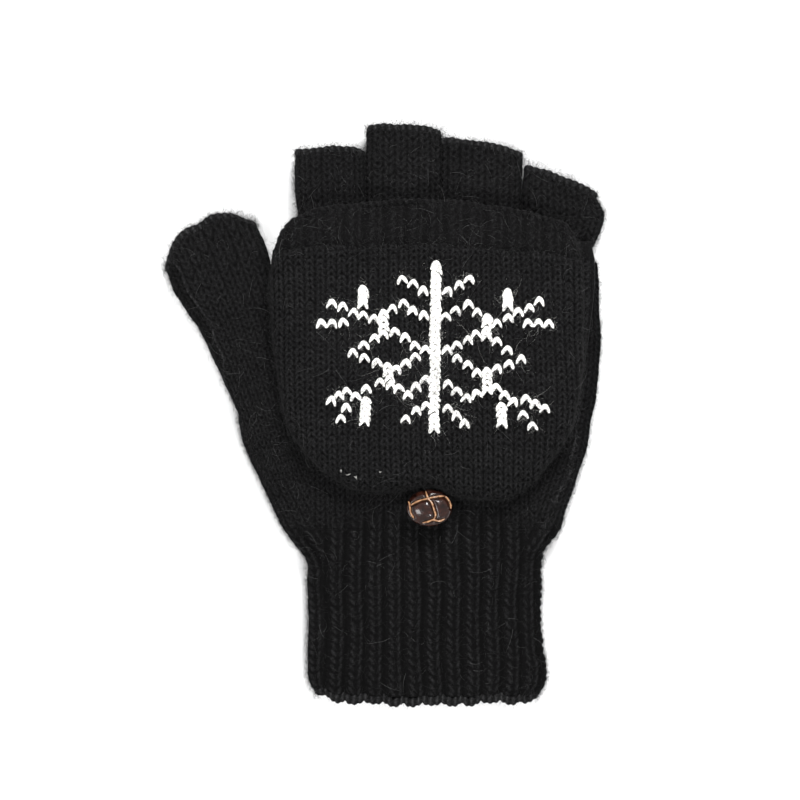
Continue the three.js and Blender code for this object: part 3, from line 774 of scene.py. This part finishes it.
def tube_with_edge(name, keys, wales, seed, fuzz, crease=0):
    """A knitted tube and the bound edge at its open end, as two pieces that ride the hand."""
    build = Build()
    skin, n = knit_tube(build, keys, wales, seed, crease)
    strands(build, skin, n, fuzz, seed + 30)
    halo(build, skin, n, fuzz, seed + 29)
    stray(build, skin, n, fuzz // 14, seed + 31)
    tube = build.make(f"{name}_knit", [BLACK, FIBRE, GREY_FIBRE])
    build = Build()
    left, right = np.array(keys[-1][0:2]), np.array(keys[-1][2:4])
    along = (right - left) / np.linalg.norm(right - left)
    way = np.array([-along[1], along[0]])
    ring, way3 = end_ring(left + way * 0.8 + along * 0.9, right + way * 0.8 - along * 0.9, keys[-1][6], 1.0,
                          TOP - 1.0)
    ring[:, :2] += way * (waves(ring, 8, seed + 40) * 0.35)[:, None]
    line, out = bound_edge(build, ring, way3, 1.9, 2.7, 2.3, seed + 32)
    strands(build, line, out, fuzz // 3, seed + 33, lift=0.9)
    strands(build, line + way3 * 1.0, np.tile(way3, (len(line), 1)), fuzz // 3, seed + 34, lift=0.9)
    edge = build.make(f"{name}_bound_edge", [EDGE, FIBRE])
    for piece in (tube, edge):
        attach(piece, "hand")
    return tube, edge


tube, edge = tube_with_edge("thumb", THUMB, 10, 9, 2000, crease=6.5)
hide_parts("thumb_tube")
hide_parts("thumb_edge")

# ---------------------------------------------------------------- half fingers

FINGERS = {
    "index": [(-28.4, 58, -6.3, 58, 0.9, 8.5, 0), (-29.0, 63, -6.4, 63, 0.1, 9.3, 0),
              (-30.2, 74, -6.6, 74, 0.1, 9.2, 0), (-30.5, 86.9, -6.9, 86.8, 0.3, 9.1, 0.8)],
    "middle": [(-7.2, 58, 18.6, 58, 0.9, 8.5, 0), (-7.1, 63, 18.6, 63, 0.1, 9.3, 0),
               (-6.7, 78, 18.8, 77, 0.1, 9.3, 0), (-6.6, 94.8, 18.8, 93.5, 0.3, 9.2, 0.8)],
    "ring": [(18.0, 58, 44.9, 58, 0.9, 8.5, 0), (18.0, 63, 45.1, 63, 0.1, 9.2, 0),
             (18.1, 75, 45.6, 73, 0.1, 9.2, 0), (18.2, 91.0, 45.9, 85.8, 0.3, 9.1, 1.1)],
    "little": [(43.8, 54, 67.0, 50.5, 1.2, 7.6, 0), (44.2, 59, 69.1, 56, 0.1, 8.9, 0),
               (45.2, 70, 73.5, 66.9, 0.1, 9.0, 0), (46.1, 82.0, 70.6, 72.4, 0.3, 9.0, 0.6)],
}
for number, (name, rows) in enumerate(FINGERS.items()):
    tube, edge = tube_with_edge(name, rows, 7.5, 20 + number, 700)
    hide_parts(f"{name}_finger")
    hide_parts(f"{name}_edge")
    if name == "little":
        for piece in (tube, edge):
            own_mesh(piece)

# ---------------------------------------------------------------- cap

# The outline of the cap from its mouth on the thumb side round the tip to the other side: x, y
CAP_SIDE = [
    (-37.2, 54.6), (-37.7, 50), (-38.3, 44), (-38.2, 35), (-37.3, 25), (-36.0, 15),
    (-34.0, 3.3), (-31, -6.2), (-25.2, -13.6), (-18.7, -19.7), (-11.8, -24), (-3.5, -25.3),
    (5, -25.0), (11.2, -24.0), (17.8, -24.2), (23, -26.8), (31.5, -27.8), (41.5, -26.7),
    (47.4, -23.6), (52.6, -17.6), (57.6, -11.6), (61.5, -4.8), (63.4, 3), (64.7, 14),
    (65.5, 30), (65.8, 44), (65.7, 51.4),
]
CENTRE = np.array([14.0, 16.0])
MOUTH_LEFT, MOUTH_RIGHT = -37.3, 65.7
CAP_EDGE_DROP = 3.9  # how far the front layer rolls down at its rim


def hem_low(x):
    return 56.4 - 0.0016 * (x - 5) ** 2


def hem_high(x):
    return 70.2 - 0.0030 * (x - 10) ** 2


SIDE_LINE = line_points(CAP_SIDE, 760)


def side_share(x):
    """0 in the middle of the cap and 1 at its sides."""
    return np.clip(np.maximum((x - CENTRE[0]) / 51.8, (CENTRE[0] - x) / 52.2), 0, 1)


def cap_height(x, y, share):
    """Height of the front layer's face, which rolls down where share, 0 in the middle, comes near 1."""
    away = np.clip((1 - share) * 48 / 7.5, 0, 1)
    roll = 1 - np.sqrt(np.clip(1 - (1 - away) ** 2.3, 0, 1))
    puff = 0.6 * np.exp(-(((x - 14) / 40) ** 2 + ((y - 10) / 34) ** 2))
    dent = 1.2 * np.exp(-(((x - 14.5) / 9) ** 2 + ((y + 25) / 7) ** 2))
    return FRONT_Z - CAP_EDGE_DROP * roll + puff - dent - 0.35


mouth_x = np.linspace(SIDE_LINE[-1, 0], SIDE_LINE[0, 0], 262)[1:-1]
outline = np.vstack([SIDE_LINE, np.column_stack([mouth_x, hem_low(mouth_x) + 1.0])])
is_mouth = np.zeros(len(outline))
is_mouth[len(SIDE_LINE):] = 1
mouth = np.convolve(np.concatenate([is_mouth[-40:], is_mouth, is_mouth[:40]]), np.ones(41) / 41, "same")[40:-40]
radial = np.concatenate([np.linspace(0.02, 0.88, 128), np.linspace(0.88, 1.0, 42)[1:]])
grid = np.zeros((len(radial), len(outline), 3))
for i, rho in enumerate(radial):
    xy = CENTRE + (outline - CENTRE) * rho
    share = rho * (1 - mouth) + side_share(xy[:, 0]) * mouth
    grid[i, :, :2] = xy
    grid[i, :, 2] = cap_height(xy[:, 0], xy[:, 1], share)
x, y = grid[..., 0], grid[..., 1]
grid[..., 2] -= 1.1 * smooth(y, hem_low(x) - 1.6, hem_low(x) + 1.0)
n = normals_of(grid, True)
n *= np.sign(n[..., 2:].mean())
u = (x - FLAKE[0] + 0.012 * (y - FLAKE[1])) / WALE + 0.5 + waves(grid, 40, 15) * 0.12
v = (y - FLAKE[1]) / COURSE + 0.5 + 0.0004 * (x - FLAKE[0]) ** 2 + waves(grid, 50, 16) * 0.3
field = jersey(u, -v, seed=4)
folds = waves(grid, 34, 88, 2) * 0.42 + waves(grid * [1, 0.6, 1], 12, 89) * 0.14
rumple = np.exp(-((np.hypot(x + 18, y + 10) - 6) / 3.5) ** 2) * 0.5
top = grid + n * (0.7 * (field - 0.6) + folds - rumple * 0.5)[..., None]
rows = np.unique(np.linspace(0, len(radial) - 1, 22).astype(int))
under = grid[rows].copy()
under[..., 2] -= WALL
rim = (top[-1] + under[-1]) / 2
rim[:, :2] += unit(rim[:, :2] - CENTRE) * 0.35
build = Build()
# Yarn values: the stitch field paints shade, darker in its hollows; the rim and underside get fixed values.
build.rings(
    np.concatenate([top, rim[None], under[::-1]]),
    np.concatenate([field, np.full((1, len(outline)), 0.4), np.full((len(rows), len(outline)), 0.3)]),
)
strands(build, top, n, 4200, 36)
halo(build, top[-16:], n[-16:], 900, 37)
stray(build, top, n, 170, 38)
front_piece = build.make("cap_front_knit", [BLACK, FIBRE, GREY_FIBRE])
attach(front_piece, "cap_front")
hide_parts("cap_front_layer")

# Hem: ribbing from the top of the front layer to the cast-off mouth
HEM_PITCH = 6.6
HEM_COURSE = 2.35
columns = 380
xs = np.linspace(MOUTH_LEFT, MOUTH_RIGHT, columns)
share = np.linspace(0, 1, 56)[:, None]
corner = smooth(side_share(xs), 0.88, 1.0)
low = hem_low(xs) - 1.3
high = hem_high(xs) - 2.4 * corner**1.5
left_end = smooth(-xs, 20, -MOUTH_LEFT)
right_end = smooth(xs, 50, MOUTH_RIGHT)
gx = xs[None, :] + left_end * (1.6 * share + 1.7 * share**2) - right_end * (0.4 * share + 1.6 * share**2)
gy = low[None, :] + (high - low)[None, :] * share
gz = cap_height(gx, gy, side_share(xs)[None, :]) - 0.1
gz -= 1.0 * (1 - smooth(gy - low[None, :], 0.0, 4.0)) + 0.5 * smooth(share, 0.86, 1.0)
hem_grid = np.stack([gx, gy, gz], axis=-1)
hem_n = normals_of(hem_grid, False)
hem_n *= np.sign(hem_n[..., 2:].mean())
u = (xs[None, :] + 40 + waves(hem_grid, 30, 19) * 0.4) / HEM_PITCH
v = -(gy - low[None, :]) / HEM_COURSE
field, hem_shade = rib(u, v, HEM_PITCH, HEM_COURSE, seed=6)
hem_shade = 0.14 + 0.62 * hem_shade
level = 0.55 * (field - 0.55) + waves(hem_grid, 24, 90, 2) * 0.3
hem_top = hem_grid + hem_n * level[..., None]
hem_under = hem_grid - hem_n * WALL + hem_n * (level * 0.4)[..., None]
loop = np.transpose(np.concatenate([hem_top, hem_under[::-1]], axis=0), (1, 0, 2))
hem = Build()
hem.rings(loop, np.transpose(np.concatenate([hem_shade, hem_shade[::-1] * 0.6], axis=0)))
lip = (hem_top[-1] + hem_under[-1]) / 2
lip[:, 2] = hem_grid[-1, :, 2] - 0.55
lip[:, 1] += 0.15 + 0.3 * waves(lip, 9, 92)
lip = lip[2:-2]


def lip_shape(a):
    bump = 0.5 + 0.5 * np.cos(2 * np.pi * lip[:, 0] / 2.3 + 1.3 * math.cos(a))
    grow = 0.7 + 0.3 * bump**0.7
    # Painted shade: lighter on the loops' crests, darker between them.
    return math.cos(a) * 1.2 * grow, math.sin(a) * 1.1 * grow, 0.15 + 0.5 * bump


hem.cord(lip, np.cross(UP, unit(np.gradient(lip, axis=0))), UP, 14, lip_shape)
strands(hem, hem_top, hem_n, 1100, 37)
strands(hem, lip, np.tile([0, 0.5, 0.85], (len(lip), 1)), 260, 38, lift=0.9)
stray(hem, hem_top, hem_n, 90, 39)
hem_piece = hem.make("cap_hem_knit", [BLACK, FIBRE, GREY_FIBRE])
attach(hem_piece, "cap_front")
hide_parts("cap_hem_rib")


# Back layer: its underside is the face that shows when the cap is over the fingers
def seam_y(x):
    """The middle of the seam, which falls towards the little finger."""
    return SEAM_HI[1] - 0.7 + (x - SEAM_LO[0]) / (SEAM_HI[0] - SEAM_LO[0]) * (SEAM_LO[1] - SEAM_HI[1] + 1.4)


def widening(line):
    """How far the back layer reaches past the front one on the little-finger side."""
    return (line[:, 0] > 30) * 3.6 * smooth(line[:, 1], 0, 50)


back_side = SIDE_LINE[SIDE_LINE[:, 1] < 54].copy()
back_side[:, 0] += widening(back_side)
x = np.linspace(68.0, -33.8, 262)
back_line = np.vstack([back_side, np.column_stack([x, seam_y(x) + 0.4])])
radial = np.linspace(0.02, 1.0, 120)
grid = np.zeros((len(radial), len(back_line), 3))
for i, rho in enumerate(radial):
    grid[i, :, :2] = CENTRE + (back_line - CENTRE) * rho
grid[..., 2] = BACK_Z + 0.75
x, y = grid[..., 0], grid[..., 1]
u, v = (x - FLAKE[0]) / WALE, (y - FLAKE[1]) / COURSE
field = jersey(u, -v, seed=8)
soft = waves(grid, 18, 92, 2) * 0.12
lower = grid.copy()
lower[..., 2] -= 0.5 + 0.4 * (field - 0.6) - np.minimum(soft, 0)
rows = np.unique(np.linspace(0, len(radial) - 1, 40).astype(int))
upper = grid[rows].copy()
upper[..., 2] += 0.75
rim = grid[-1].copy()
rim[:, :2] += unit(back_line - CENTRE) * 0.4
back = Build()
rings = np.concatenate([lower, rim[None], upper[::-1]])
plain = [np.full((1, len(back_line)), 0.5), np.full((len(rows), len(back_line)), 0.4)]
back.rings(rings, np.concatenate([field, *plain]))
down = np.zeros_like(lower)
down[..., 2] = -1
strands(back, lower[60:], down[60:], 1500, 39, lift=0.15)
back_piece = back.make("cap_back_knit", [BLACK, FIBRE])
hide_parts("cap_back_layer")
axis = np.array(FLIP["axis"])
fold_way = np.array([axis[1], -axis[0], 0.0])
if fold_way[1] > 0:
    fold_way = -fold_way
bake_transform(back_piece)

# Side wall: closes the pocket from the mouth round the tip
wall = Build()
t = unit(np.gradient(SIDE_LINE, axis=0))
off = np.column_stack([t[:, 1], -t[:, 0]])
if np.sum(off * (SIDE_LINE - CENTRE)) < 0:
    off = -off
arc = 22
outer, inner = [], []
top_z, low_z = FRONT_Z - CAP_EDGE_DROP + 0.1, BACK_Z + 0.35
for k in range(arc):
    f = k / (arc - 1)
    bulge = 0.45 * math.sin(math.pi * f) - 1.5 * (1 - f) ** 3 - 0.9 * f**4
    z = top_z + (low_z - top_z) * f
    for skin, reach in ((outer, bulge), (inner, bulge - 1.4)):
        place = np.column_stack([SIDE_LINE + off * reach, np.full(len(SIDE_LINE), z)])
        place[:, 0] += widening(SIDE_LINE) * smooth(f, 0.1, 0.9)
        skin.append(place)
outer, inner = np.array(outer), np.array(inner)
n = normals_of(outer, False)
n *= np.sign(np.sum(n[..., :2] * off[None]))
u = np.broadcast_to(np.linspace(0, 1.6, arc)[:, None], outer.shape[:2])
v = np.broadcast_to((distances(SIDE_LINE) / COURSE)[None], outer.shape[:2])
field = jersey(u, v, seed=12)
outer = outer + n * (0.42 * (field - 0.6) + 0.2 * waves(outer, 12, 93, 2))[..., None]
loop = np.transpose(np.concatenate([outer, inner[::-1]], axis=0), (1, 0, 2))
# Painted shade: the stitch field darkens the hollows, and the inner face is darker still.
values = np.transpose(np.concatenate([field, field[::-1] * 0.4], axis=0))
wall.rings(loop, values)
strands(wall, outer, n, 900, 44, lift=0.7)
wall_piece = wall.make("cap_side_knit", [BLACK, FIBRE])
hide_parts("cap_side_wall", "cap_side_gusset")
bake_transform(wall_piece)

# Seam on the back of the hand
seam = Build()
ends = np.array([(SEAM_LO[0] + 1.6, SEAM_HI[1] - 0.8, PIVOT[2]), (SEAM_HI[0] - 0.6, SEAM_LO[1] + 0.7, PIVOT[2])])
line = ends[0] + (ends[1] - ends[0]) * np.linspace(0, 1, 420)[:, None]
way = unit(ends[1] - ends[0])
phase = 2 * np.pi * np.linspace(0, np.linalg.norm(ends[1] - ends[0]), len(line)) / 2.6


def whip_shape(a):
    bump = 0.5 + 0.5 * np.cos(phase + a)
    grow = 0.52 + 0.22 * bump
    # Painted shade: lighter on the wraps' crests, darker between them.
    return math.cos(a) * grow, math.sin(a) * grow, 0.3 + 0.7 * bump


seam.cord(line, np.cross(UP, way), UP, 14, whip_shape)
seam_piece = seam.make("cap_seam_whipstitch", [EDGE])
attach(seam_piece, "hand")
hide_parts("cap_seam")

# ---------------------------------------------------------------- snowflake, stitch by stitch

# Each stitch as (columns right of the middle, rows below the middle)
MIDDLE_BAR = [(-0.05 - 0.008 * row, row) for row in range(-14, 14)]
UPPER = [
    (1.2, -9.6), (2.3, -10.7), (3.3, -11.6), (-1.2, -9.75), (-2.2, -10.9), (-3.25, -11.6),
    (1.0, -5.4), (2.0, -6.5), (3.2, -7.5), (4.06, -6.2), (-1.14, -5.7), (-2.2, -6.5), (-3.1, -7.75), (-4.2, -6.8),
    (5, -5.3), (5, -4.3), (5, -3.2), (5, -2.2), (-5.08, -5.9), (-5.08, -4.8), (-5.08, -3.7), (-5.08, -2.6),
    (3.93, -2.6), (3.1, -1.6), (2.03, -0.8), (1.1, 0), (-3.98, -3), (-2.97, -2.06), (-2.03, -0.67), (-0.97, 0),
    (6, -4.4), (7.03, -5.25), (8.04, -6.2), (9.1, -6.9), (10.07, -8), (9, -4.4), (10, -4.4), (11.05, -4.4),
    (7.03, -9.4), (7.03, -8.7), (7.03, -7.9), (7.03, -7.1),
    (-6, -5.1), (-7, -5.8), (-7.96, -6.2), (-9, -7.2), (-10.1, -7.6), (-9, -4.6), (-10.07, -4.4), (-11.1, -4.3),
    (-7.07, -10.0), (-7.07, -9.2), (-7.07, -8.4), (-7.07, -7.5),
]
RINGS = [
    (5.98, -1.4), (7.03, 0), (8.3, 1.5), (7.15, 2.4), (6, 3.1),
    (-5.9, -1.9), (-6.95, -0.8), (-8, 0.4), (-6.95, 1.3), (-5.7, 2.1),
]
LOWER = [
    (2.1, 1.4), (3.1, 2.5), (4.06, 3.8), (-1.95, 1.1), (-2.9, 2.2), (-3.8, 3.2),
    (5, 3.6), (5, 4.7), (5, 5.7), (5, 6.8), (-4.7, 2.8), (-4.6, 3.8), (-4.5, 4.8), (-4.35, 5.8),
    (1.2, 5.6), (2.1, 6.8), (3.04, 7.9), (4, 7.2), (-1, 4.9), (-1.9, 6.1), (-2.7, 7.4), (-3.6, 6.3),
    (5.9, 6.3), (6.74, 7.5), (7.6, 8.6), (8.8, 8.1), (9.7, 8.9), (10.6, 9.7), (8.5, 10.7), (9.4, 12.5),
    (6.4, 9.3), (6.4, 10.3), (6.45, 11.2), (6.5, 12.1),
    (-5.4, 5.3), (-6.7, 6.4), (-7.8, 7.7), (-8.66, 6.8), (-9.4, 7.5), (-10.15, 8.35), (-8.7, 9.5), (-9.2, 11.3),
    (-6.8, 8.4), (-6.8, 9.2), (-6.85, 10.1), (-6.9, 11.0), (-6.9, 11.8),
    (1.2, 9.6), (2.03, 10.8), (2.8, 12.1), (-0.9, 9.2), (-1.87, 10), (-2.9, 11.4),
]


def arch(build, x, y, wide, tall, fat, turn, rng):
    """One stitch seen upside down: a bent yarn whose two legs come down from a thick rounded top."""
    f = np.linspace(-1, 1, 27)
    size = np.abs(f)
    across = 1.58 * wide * np.sin(f * 1.1) / math.sin(1.1)
    up = tall * (0.85 - 2.45 * size**1.4)
    across += 0.12 * rng.normal() * size**2
    c, s = math.cos(turn), math.sin(turn)
    px, py = x + across * c - up * s, y + across * s + up * c
    line = np.column_stack([px, py, np.zeros_like(px)])
    line[:, 2] = cap_height(px, py, np.zeros_like(px)) + 0.42 + 0.30 * (1 - size**2) - 0.28 * size**3
    radius = fat * (0.79 - 0.28 * size) * np.sqrt(np.clip((1.0 - size**6), 0.02, 1))
    tangent = unit(np.gradient(line, axis=0))
    side = unit(np.column_stack([tangent[:, 1], -tangent[:, 0], np.zeros(len(f))]))
    phase = rng.uniform(0, 6.28) + f * 4.2

    def shape(a):
        ply = 1 + 0.12 * np.cos(2 * a + phase) + 0.05 * np.cos(5 * a + 3 * phase)
        # Painted shade: the yarn lighter on top, darker underneath and in the grooves of its ply.
        value = np.clip(0.35 + 0.4 * math.sin(a) + 1.6 * (ply - 1), 0, 1)
        return math.cos(a) * radius * ply, math.sin(a) * radius * ply * 0.8, value

    build.cord(line, side, np.cross(side, tangent), 12, shape)


flake = Build()
rng = np.random.default_rng(5)
centres = []
for column, row in MIDDLE_BAR + UPPER + RINGS + LOWER:
    cx = FLAKE[0] + column * WALE * 0.99 + rng.normal(0, 0.06)
    cy = FLAKE[1] - 0.25 - row * COURSE + rng.normal(0, 0.06)
    centres.append((cx, cy))
    bar = (column, row) in MIDDLE_BAR
    wide = rng.uniform(0.98, 1.08) if bar else rng.uniform(0.93, 1.07)
    fat = rng.uniform(1.04, 1.12) if bar else rng.uniform(0.9, 1.1)
    arch(flake, cx, cy, wide, rng.uniform(0.92, 1.08), fat, rng.normal(0, 0.09), rng)
centres = np.array(centres)
near = centres[rng.integers(0, len(centres), 5000)] + rng.normal(0, 1.15, (5000, 2))
tips = np.column_stack([near, cap_height(near[:, 0], near[:, 1], np.zeros(len(near))) + 0.9])
up = np.tile([0.0, 0.0, 1.0], (len(tips), 1))
strands(flake, tips, up, 2600, 45, length=(0.6, 2.0), thick=(0.012, 0.022), lift=0.25, curl=1.4)
strands(flake, tips, up, 260, 46, length=(3, 9), thick=(0.010, 0.018), lift=0.08, bits=14, curl=2.6)
strands(flake, tips, up, 260, 47, length=(1.0, 3.0), thick=(0.018, 0.03), lift=0.2, slot=2, curl=1.4)
# Four specks of white lint at the lower left of the cap
for number, (x, y) in enumerate([(-14.5, -18.3), (-12.2, -19.6), (-9.7, -20.5), (-1.8, -18.9)]):
    speck = np.array([[x, y, cap_height(x, y, np.zeros(1))[0] + 0.5]])
    strands(flake, speck, up[:1], 3, 70 + number, length=(0.5, 0.9), thick=(0.1, 0.17), lift=0.3)
flake_piece = flake.make("snowflake_stitches", [WHITE, PALE_FIBRE, FIBRE])
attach(flake_piece, "cap_front")
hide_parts("snowflake")

# ---------------------------------------------------------------- button, its thread and its loop

TURN = next(j for j in frame["joints"] if j["name"] == "button_turn")
BUTTON = np.array(TURN["pos_m"]) / MM
LEAN = math.radians(-12)
HALF_WIDE, HALF_TALL, RISE, SINK = 7.5, 6.1, 3.1, 1.5
STRAPS = [
    [(-6.3, 0.5), (-5.2, 1.2), (-3.7, 1.9), (-0.4, 2.8), (2.7, 3.5), (5.2, 3.8)],
    [(-1.2, 5.4), (-0.9, 4.3), (-0.4, 2.8), (0.7, 1.4), (1.5, -0.9), (2.0, -2.9), (1.3, -4.3)],
    [(-2.4, -5.2), (-0.6, -4.9), (1.3, -4.3), (3.3, -4.6), (5.2, -3.8)],
    [(-7.0, 2.2), (-6.6, 1.3), (-6.4, 0.0), (-6.1, -2.0), (-5.0, -3.8)],
    [(5.2, 3.8), (6.3, 2.6), (7.0, 1.0), (7.1, -0.4)],
]
strap_lines = [line_points(keys, 60) for keys in STRAPS]
strap_points = np.vstack(strap_lines)


def nearest(p, q):
    """Distance from each place on the button to the nearest strap."""
    gap = np.full(p.shape, 99.0)
    for a, b in strap_points[::2]:
        gap = np.minimum(gap, np.hypot(p - a, q - b))
    return gap


def dome(p, q):
    """Height of the button's face: a dome quilted into lobes by its straps."""
    r = np.clip(1 - (p / (HALF_WIDE + 0.05)) ** 2 - (q / (HALF_TALL + 0.05)) ** 2, 0, 1)
    gap = nearest(p, q)
    groove = 0.85 * np.exp(-((gap / 0.6) ** 2)) * r**0.3
    lobe = 0.55 * (1 - np.exp(-((gap / 1.4) ** 2))) * r
    return RISE * np.sqrt(r) - groove + lobe - 0.2


def on_button(points):
    """Leans the button's own places over towards the fingers and puts them where the button is."""
    points = np.asarray(points, float)
    c, s = math.cos(LEAN), math.sin(LEAN)
    out = points.copy()
    out[..., 1] = points[..., 1] * c - points[..., 2] * s
    out[..., 2] = points[..., 1] * s + points[..., 2] * c
    return out + BUTTON


sides = 150
theta = np.linspace(0, 2 * np.pi, sides, endpoint=False)
rings, values = [], []
# Yarn values paint shade: low near the straps, darkening the grooves, and low on the rim and underside.
for r in np.concatenate([np.linspace(0.02, 0.9, 60), np.linspace(0.9, 1, 18)[1:]]):
    p, q = HALF_WIDE * r * np.cos(theta), HALF_TALL * r * np.sin(theta)
    rings.append(np.column_stack([p, q, dome(p, q)]))
    values.append(np.clip(nearest(p, q) / 2.2, 0, 1))
for r, z in ((1.0, -0.5), (0.96, -1.1), (0.85, -SINK), (0.4, -SINK), (0.05, -SINK)):
    p, q = HALF_WIDE * r * np.cos(theta), HALF_TALL * r * np.sin(theta)
    rings.append(np.column_stack([p, q, np.full(sides, z)]))
    values.append(np.full(sides, 0.3))
build = Build()
build.rings(on_button(np.array(rings)), np.array(values))
dome_piece = build.make("button_lobes", [BROWN])
build = Build()
for line in strap_lines:
    bits, around = len(line), 12
    tangent = unit(np.gradient(line, axis=0))
    side = np.column_stack([-tangent[:, 1], tangent[:, 0]])
    f = np.linspace(0, 1, bits)
    fat = 0.235 * np.sqrt(np.clip(1 - (2 * f - 1) ** 10, 0.03, 1)) * (1 + 0.12 * np.sin(f * 21 + bits))
    rings, values = [], []
    for k in range(around):
        a = 2 * np.pi * k / around
        pq = line + side * (math.cos(a) * fat * 1.25)[:, None]
        z = dome(line[:, 0], line[:, 1]) + 0.34 + math.sin(a) * fat
        rings.append(np.column_stack([pq, z]))
        # Painted shade: each strap lighter on top and darker underneath.
        values.append(np.full(bits, 0.5 + 0.5 * math.sin(a)))
    build.rings(on_button(np.transpose(np.array(rings), (1, 0, 2))), np.transpose(np.array(values)))
straps_piece = build.make("button_strap_piping", [TAN])


def turned(profile, centre, count, ripple=0.0, turns=0):
    """A skin turned round the upright axis through centre: profile is [(radius, height), ...]."""
    angle = np.linspace(0, 2 * np.pi, count, endpoint=False)
    rings = []
    for radius, z in profile:
        r = radius * (1 + ripple * np.cos(turns * angle + 5 * z))
        x, y = centre[0] + r * np.cos(angle), centre[1] + r * np.sin(angle)
        rings.append(np.column_stack([x, y, np.full(count, z)]))
    return np.array(rings)


lo, hi = box("button_shank")
mid = (lo + hi) / 2
build = Build()
foot = [(0.3, lo[2]), (1.15, lo[2]), (1.3, lo[2] + 0.2), (1.05, lo[2] + 0.5)]
profile = foot + [(1.05, hi[2] - 0.4), (1.3, hi[2] - 0.1), (0.3, hi[2])]
build.rings(turned(profile, mid, 48))
shank_piece = build.make("button_shank_post", [BROWN])
for piece, node, slot in (
    (dome_piece, "button_dome", "button_brown"),
    (straps_piece, "button_straps", "button_strap"),
    (shank_piece, "button_shank", "button_brown"),
):
    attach(piece, "button")
    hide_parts(node)

lo, hi = box("button_thread")
mid = (lo + hi) / 2
build = Build()
levels = np.linspace(lo[2], hi[2], 40)
profile = [(0.2, lo[2])] + [(1.32 + 0.13 * abs(math.sin(z * 8)), z) for z in levels] + [(0.2, hi[2])]
build.rings(turned(profile, mid, 60, 0.03, 9))
thread_piece = build.make("button_thread_wraps", [EDGE])
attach(thread_piece, "hand")
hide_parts("button_thread")

lo, hi = box("button_loop")
half = (hi[0] - lo[0]) / 2 - 0.85
mid_x, z, end_y = (lo[0] + hi[0]) / 2, (lo[2] + hi[2]) / 2, lo[1] + 0.85 + half
angles = np.linspace(0, np.pi, 15)
arc = [(mid_x - half * math.cos(a), end_y - half * math.sin(a), z) for a in angles]
path = line_points([(mid_x - half, hi[1] - 0.3, z), *arc, (mid_x + half, hi[1] - 0.3, z)], 130)
tangent = unit(np.gradient(path, axis=0))
side = np.column_stack([-tangent[:, 1], tangent[:, 0], np.zeros(len(path))])
turns = np.linspace(0, 2 * np.pi * 16, len(path))


def braid_shape(a):
    weave = np.cos(turns + 2 * a) * np.cos(turns - 2 * a)
    r = 0.80 + 0.05 * weave
    # Painted shade: lighter where the braid stands out, darker between its strands.
    return math.cos(a) * r, math.sin(a) * r, 0.5 + 0.5 * weave


build = Build()
build.cord(path, side, UP, 16, braid_shape)
loop_piece = build.make("button_elastic_loop", [CORD])
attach(loop_piece, "cap_back")
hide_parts("button_loop")

# ---------------------------------------------------------------- stage, light and camera

VIEW_WIDTH = 800 / 3  # mm of floor across the picture
LENS, SENSOR = 100.0, 36.0
distance = VIEW_WIDTH * LENS / SENSOR
camera_data = bpy.data.cameras.new("camera")
camera_data.lens, camera_data.sensor_width = LENS, SENSOR
camera_data.clip_start, camera_data.clip_end = 0.01, 50
camera = link("camera", camera_data)
camera.location = (4.8 * MM, 5.0 * MM, (distance + 9) * MM)
bpy.context.scene.camera = camera

floor_mesh = bpy.data.meshes.new("floor")
half = 3.0
floor_mesh.from_pydata(
    [(-half, -half, -0.0004), (half, -half, -0.0004), (half, half, -0.0004), (-half, half, -0.0004)],
    [],
    [(0, 1, 2, 3)],
)
floor = link("floor", floor_mesh)
floor_material, _, _, shader = material("floor_white")
shader.inputs["Base Color"].default_value = (0.93, 0.93, 0.93, 1)
shader.inputs["Roughness"].default_value = 0.9
floor_mesh.materials.append(floor_material)


def area(name, place, size, power):
    data = bpy.data.lights.new(name, "AREA")
    data.shape, data.size, data.energy = "SQUARE", size, power
    lamp = link(name, data)
    lamp.location = place
    lamp.rotation_euler = (Vector((0, 0, 0)) - Vector(place)).to_track_quat("-Z", "Y").to_euler()


area("key", (0.35, 1.25, 1.0), 0.6, 31)
area("fill", (-1.0, -0.2, 1.2), 0.6, 12)
area("low", (0.5, -0.9, 1.4), 0.35, 12)
world = bpy.data.worlds.new("studio")
bpy.context.scene.world = world
world.use_nodes = True
world.node_tree.nodes["Background"].inputs[0].default_value = (1, 1, 1, 1)
world.node_tree.nodes["Background"].inputs[1].default_value = 0.62
bpy.context.scene.view_settings.view_transform = "Standard"
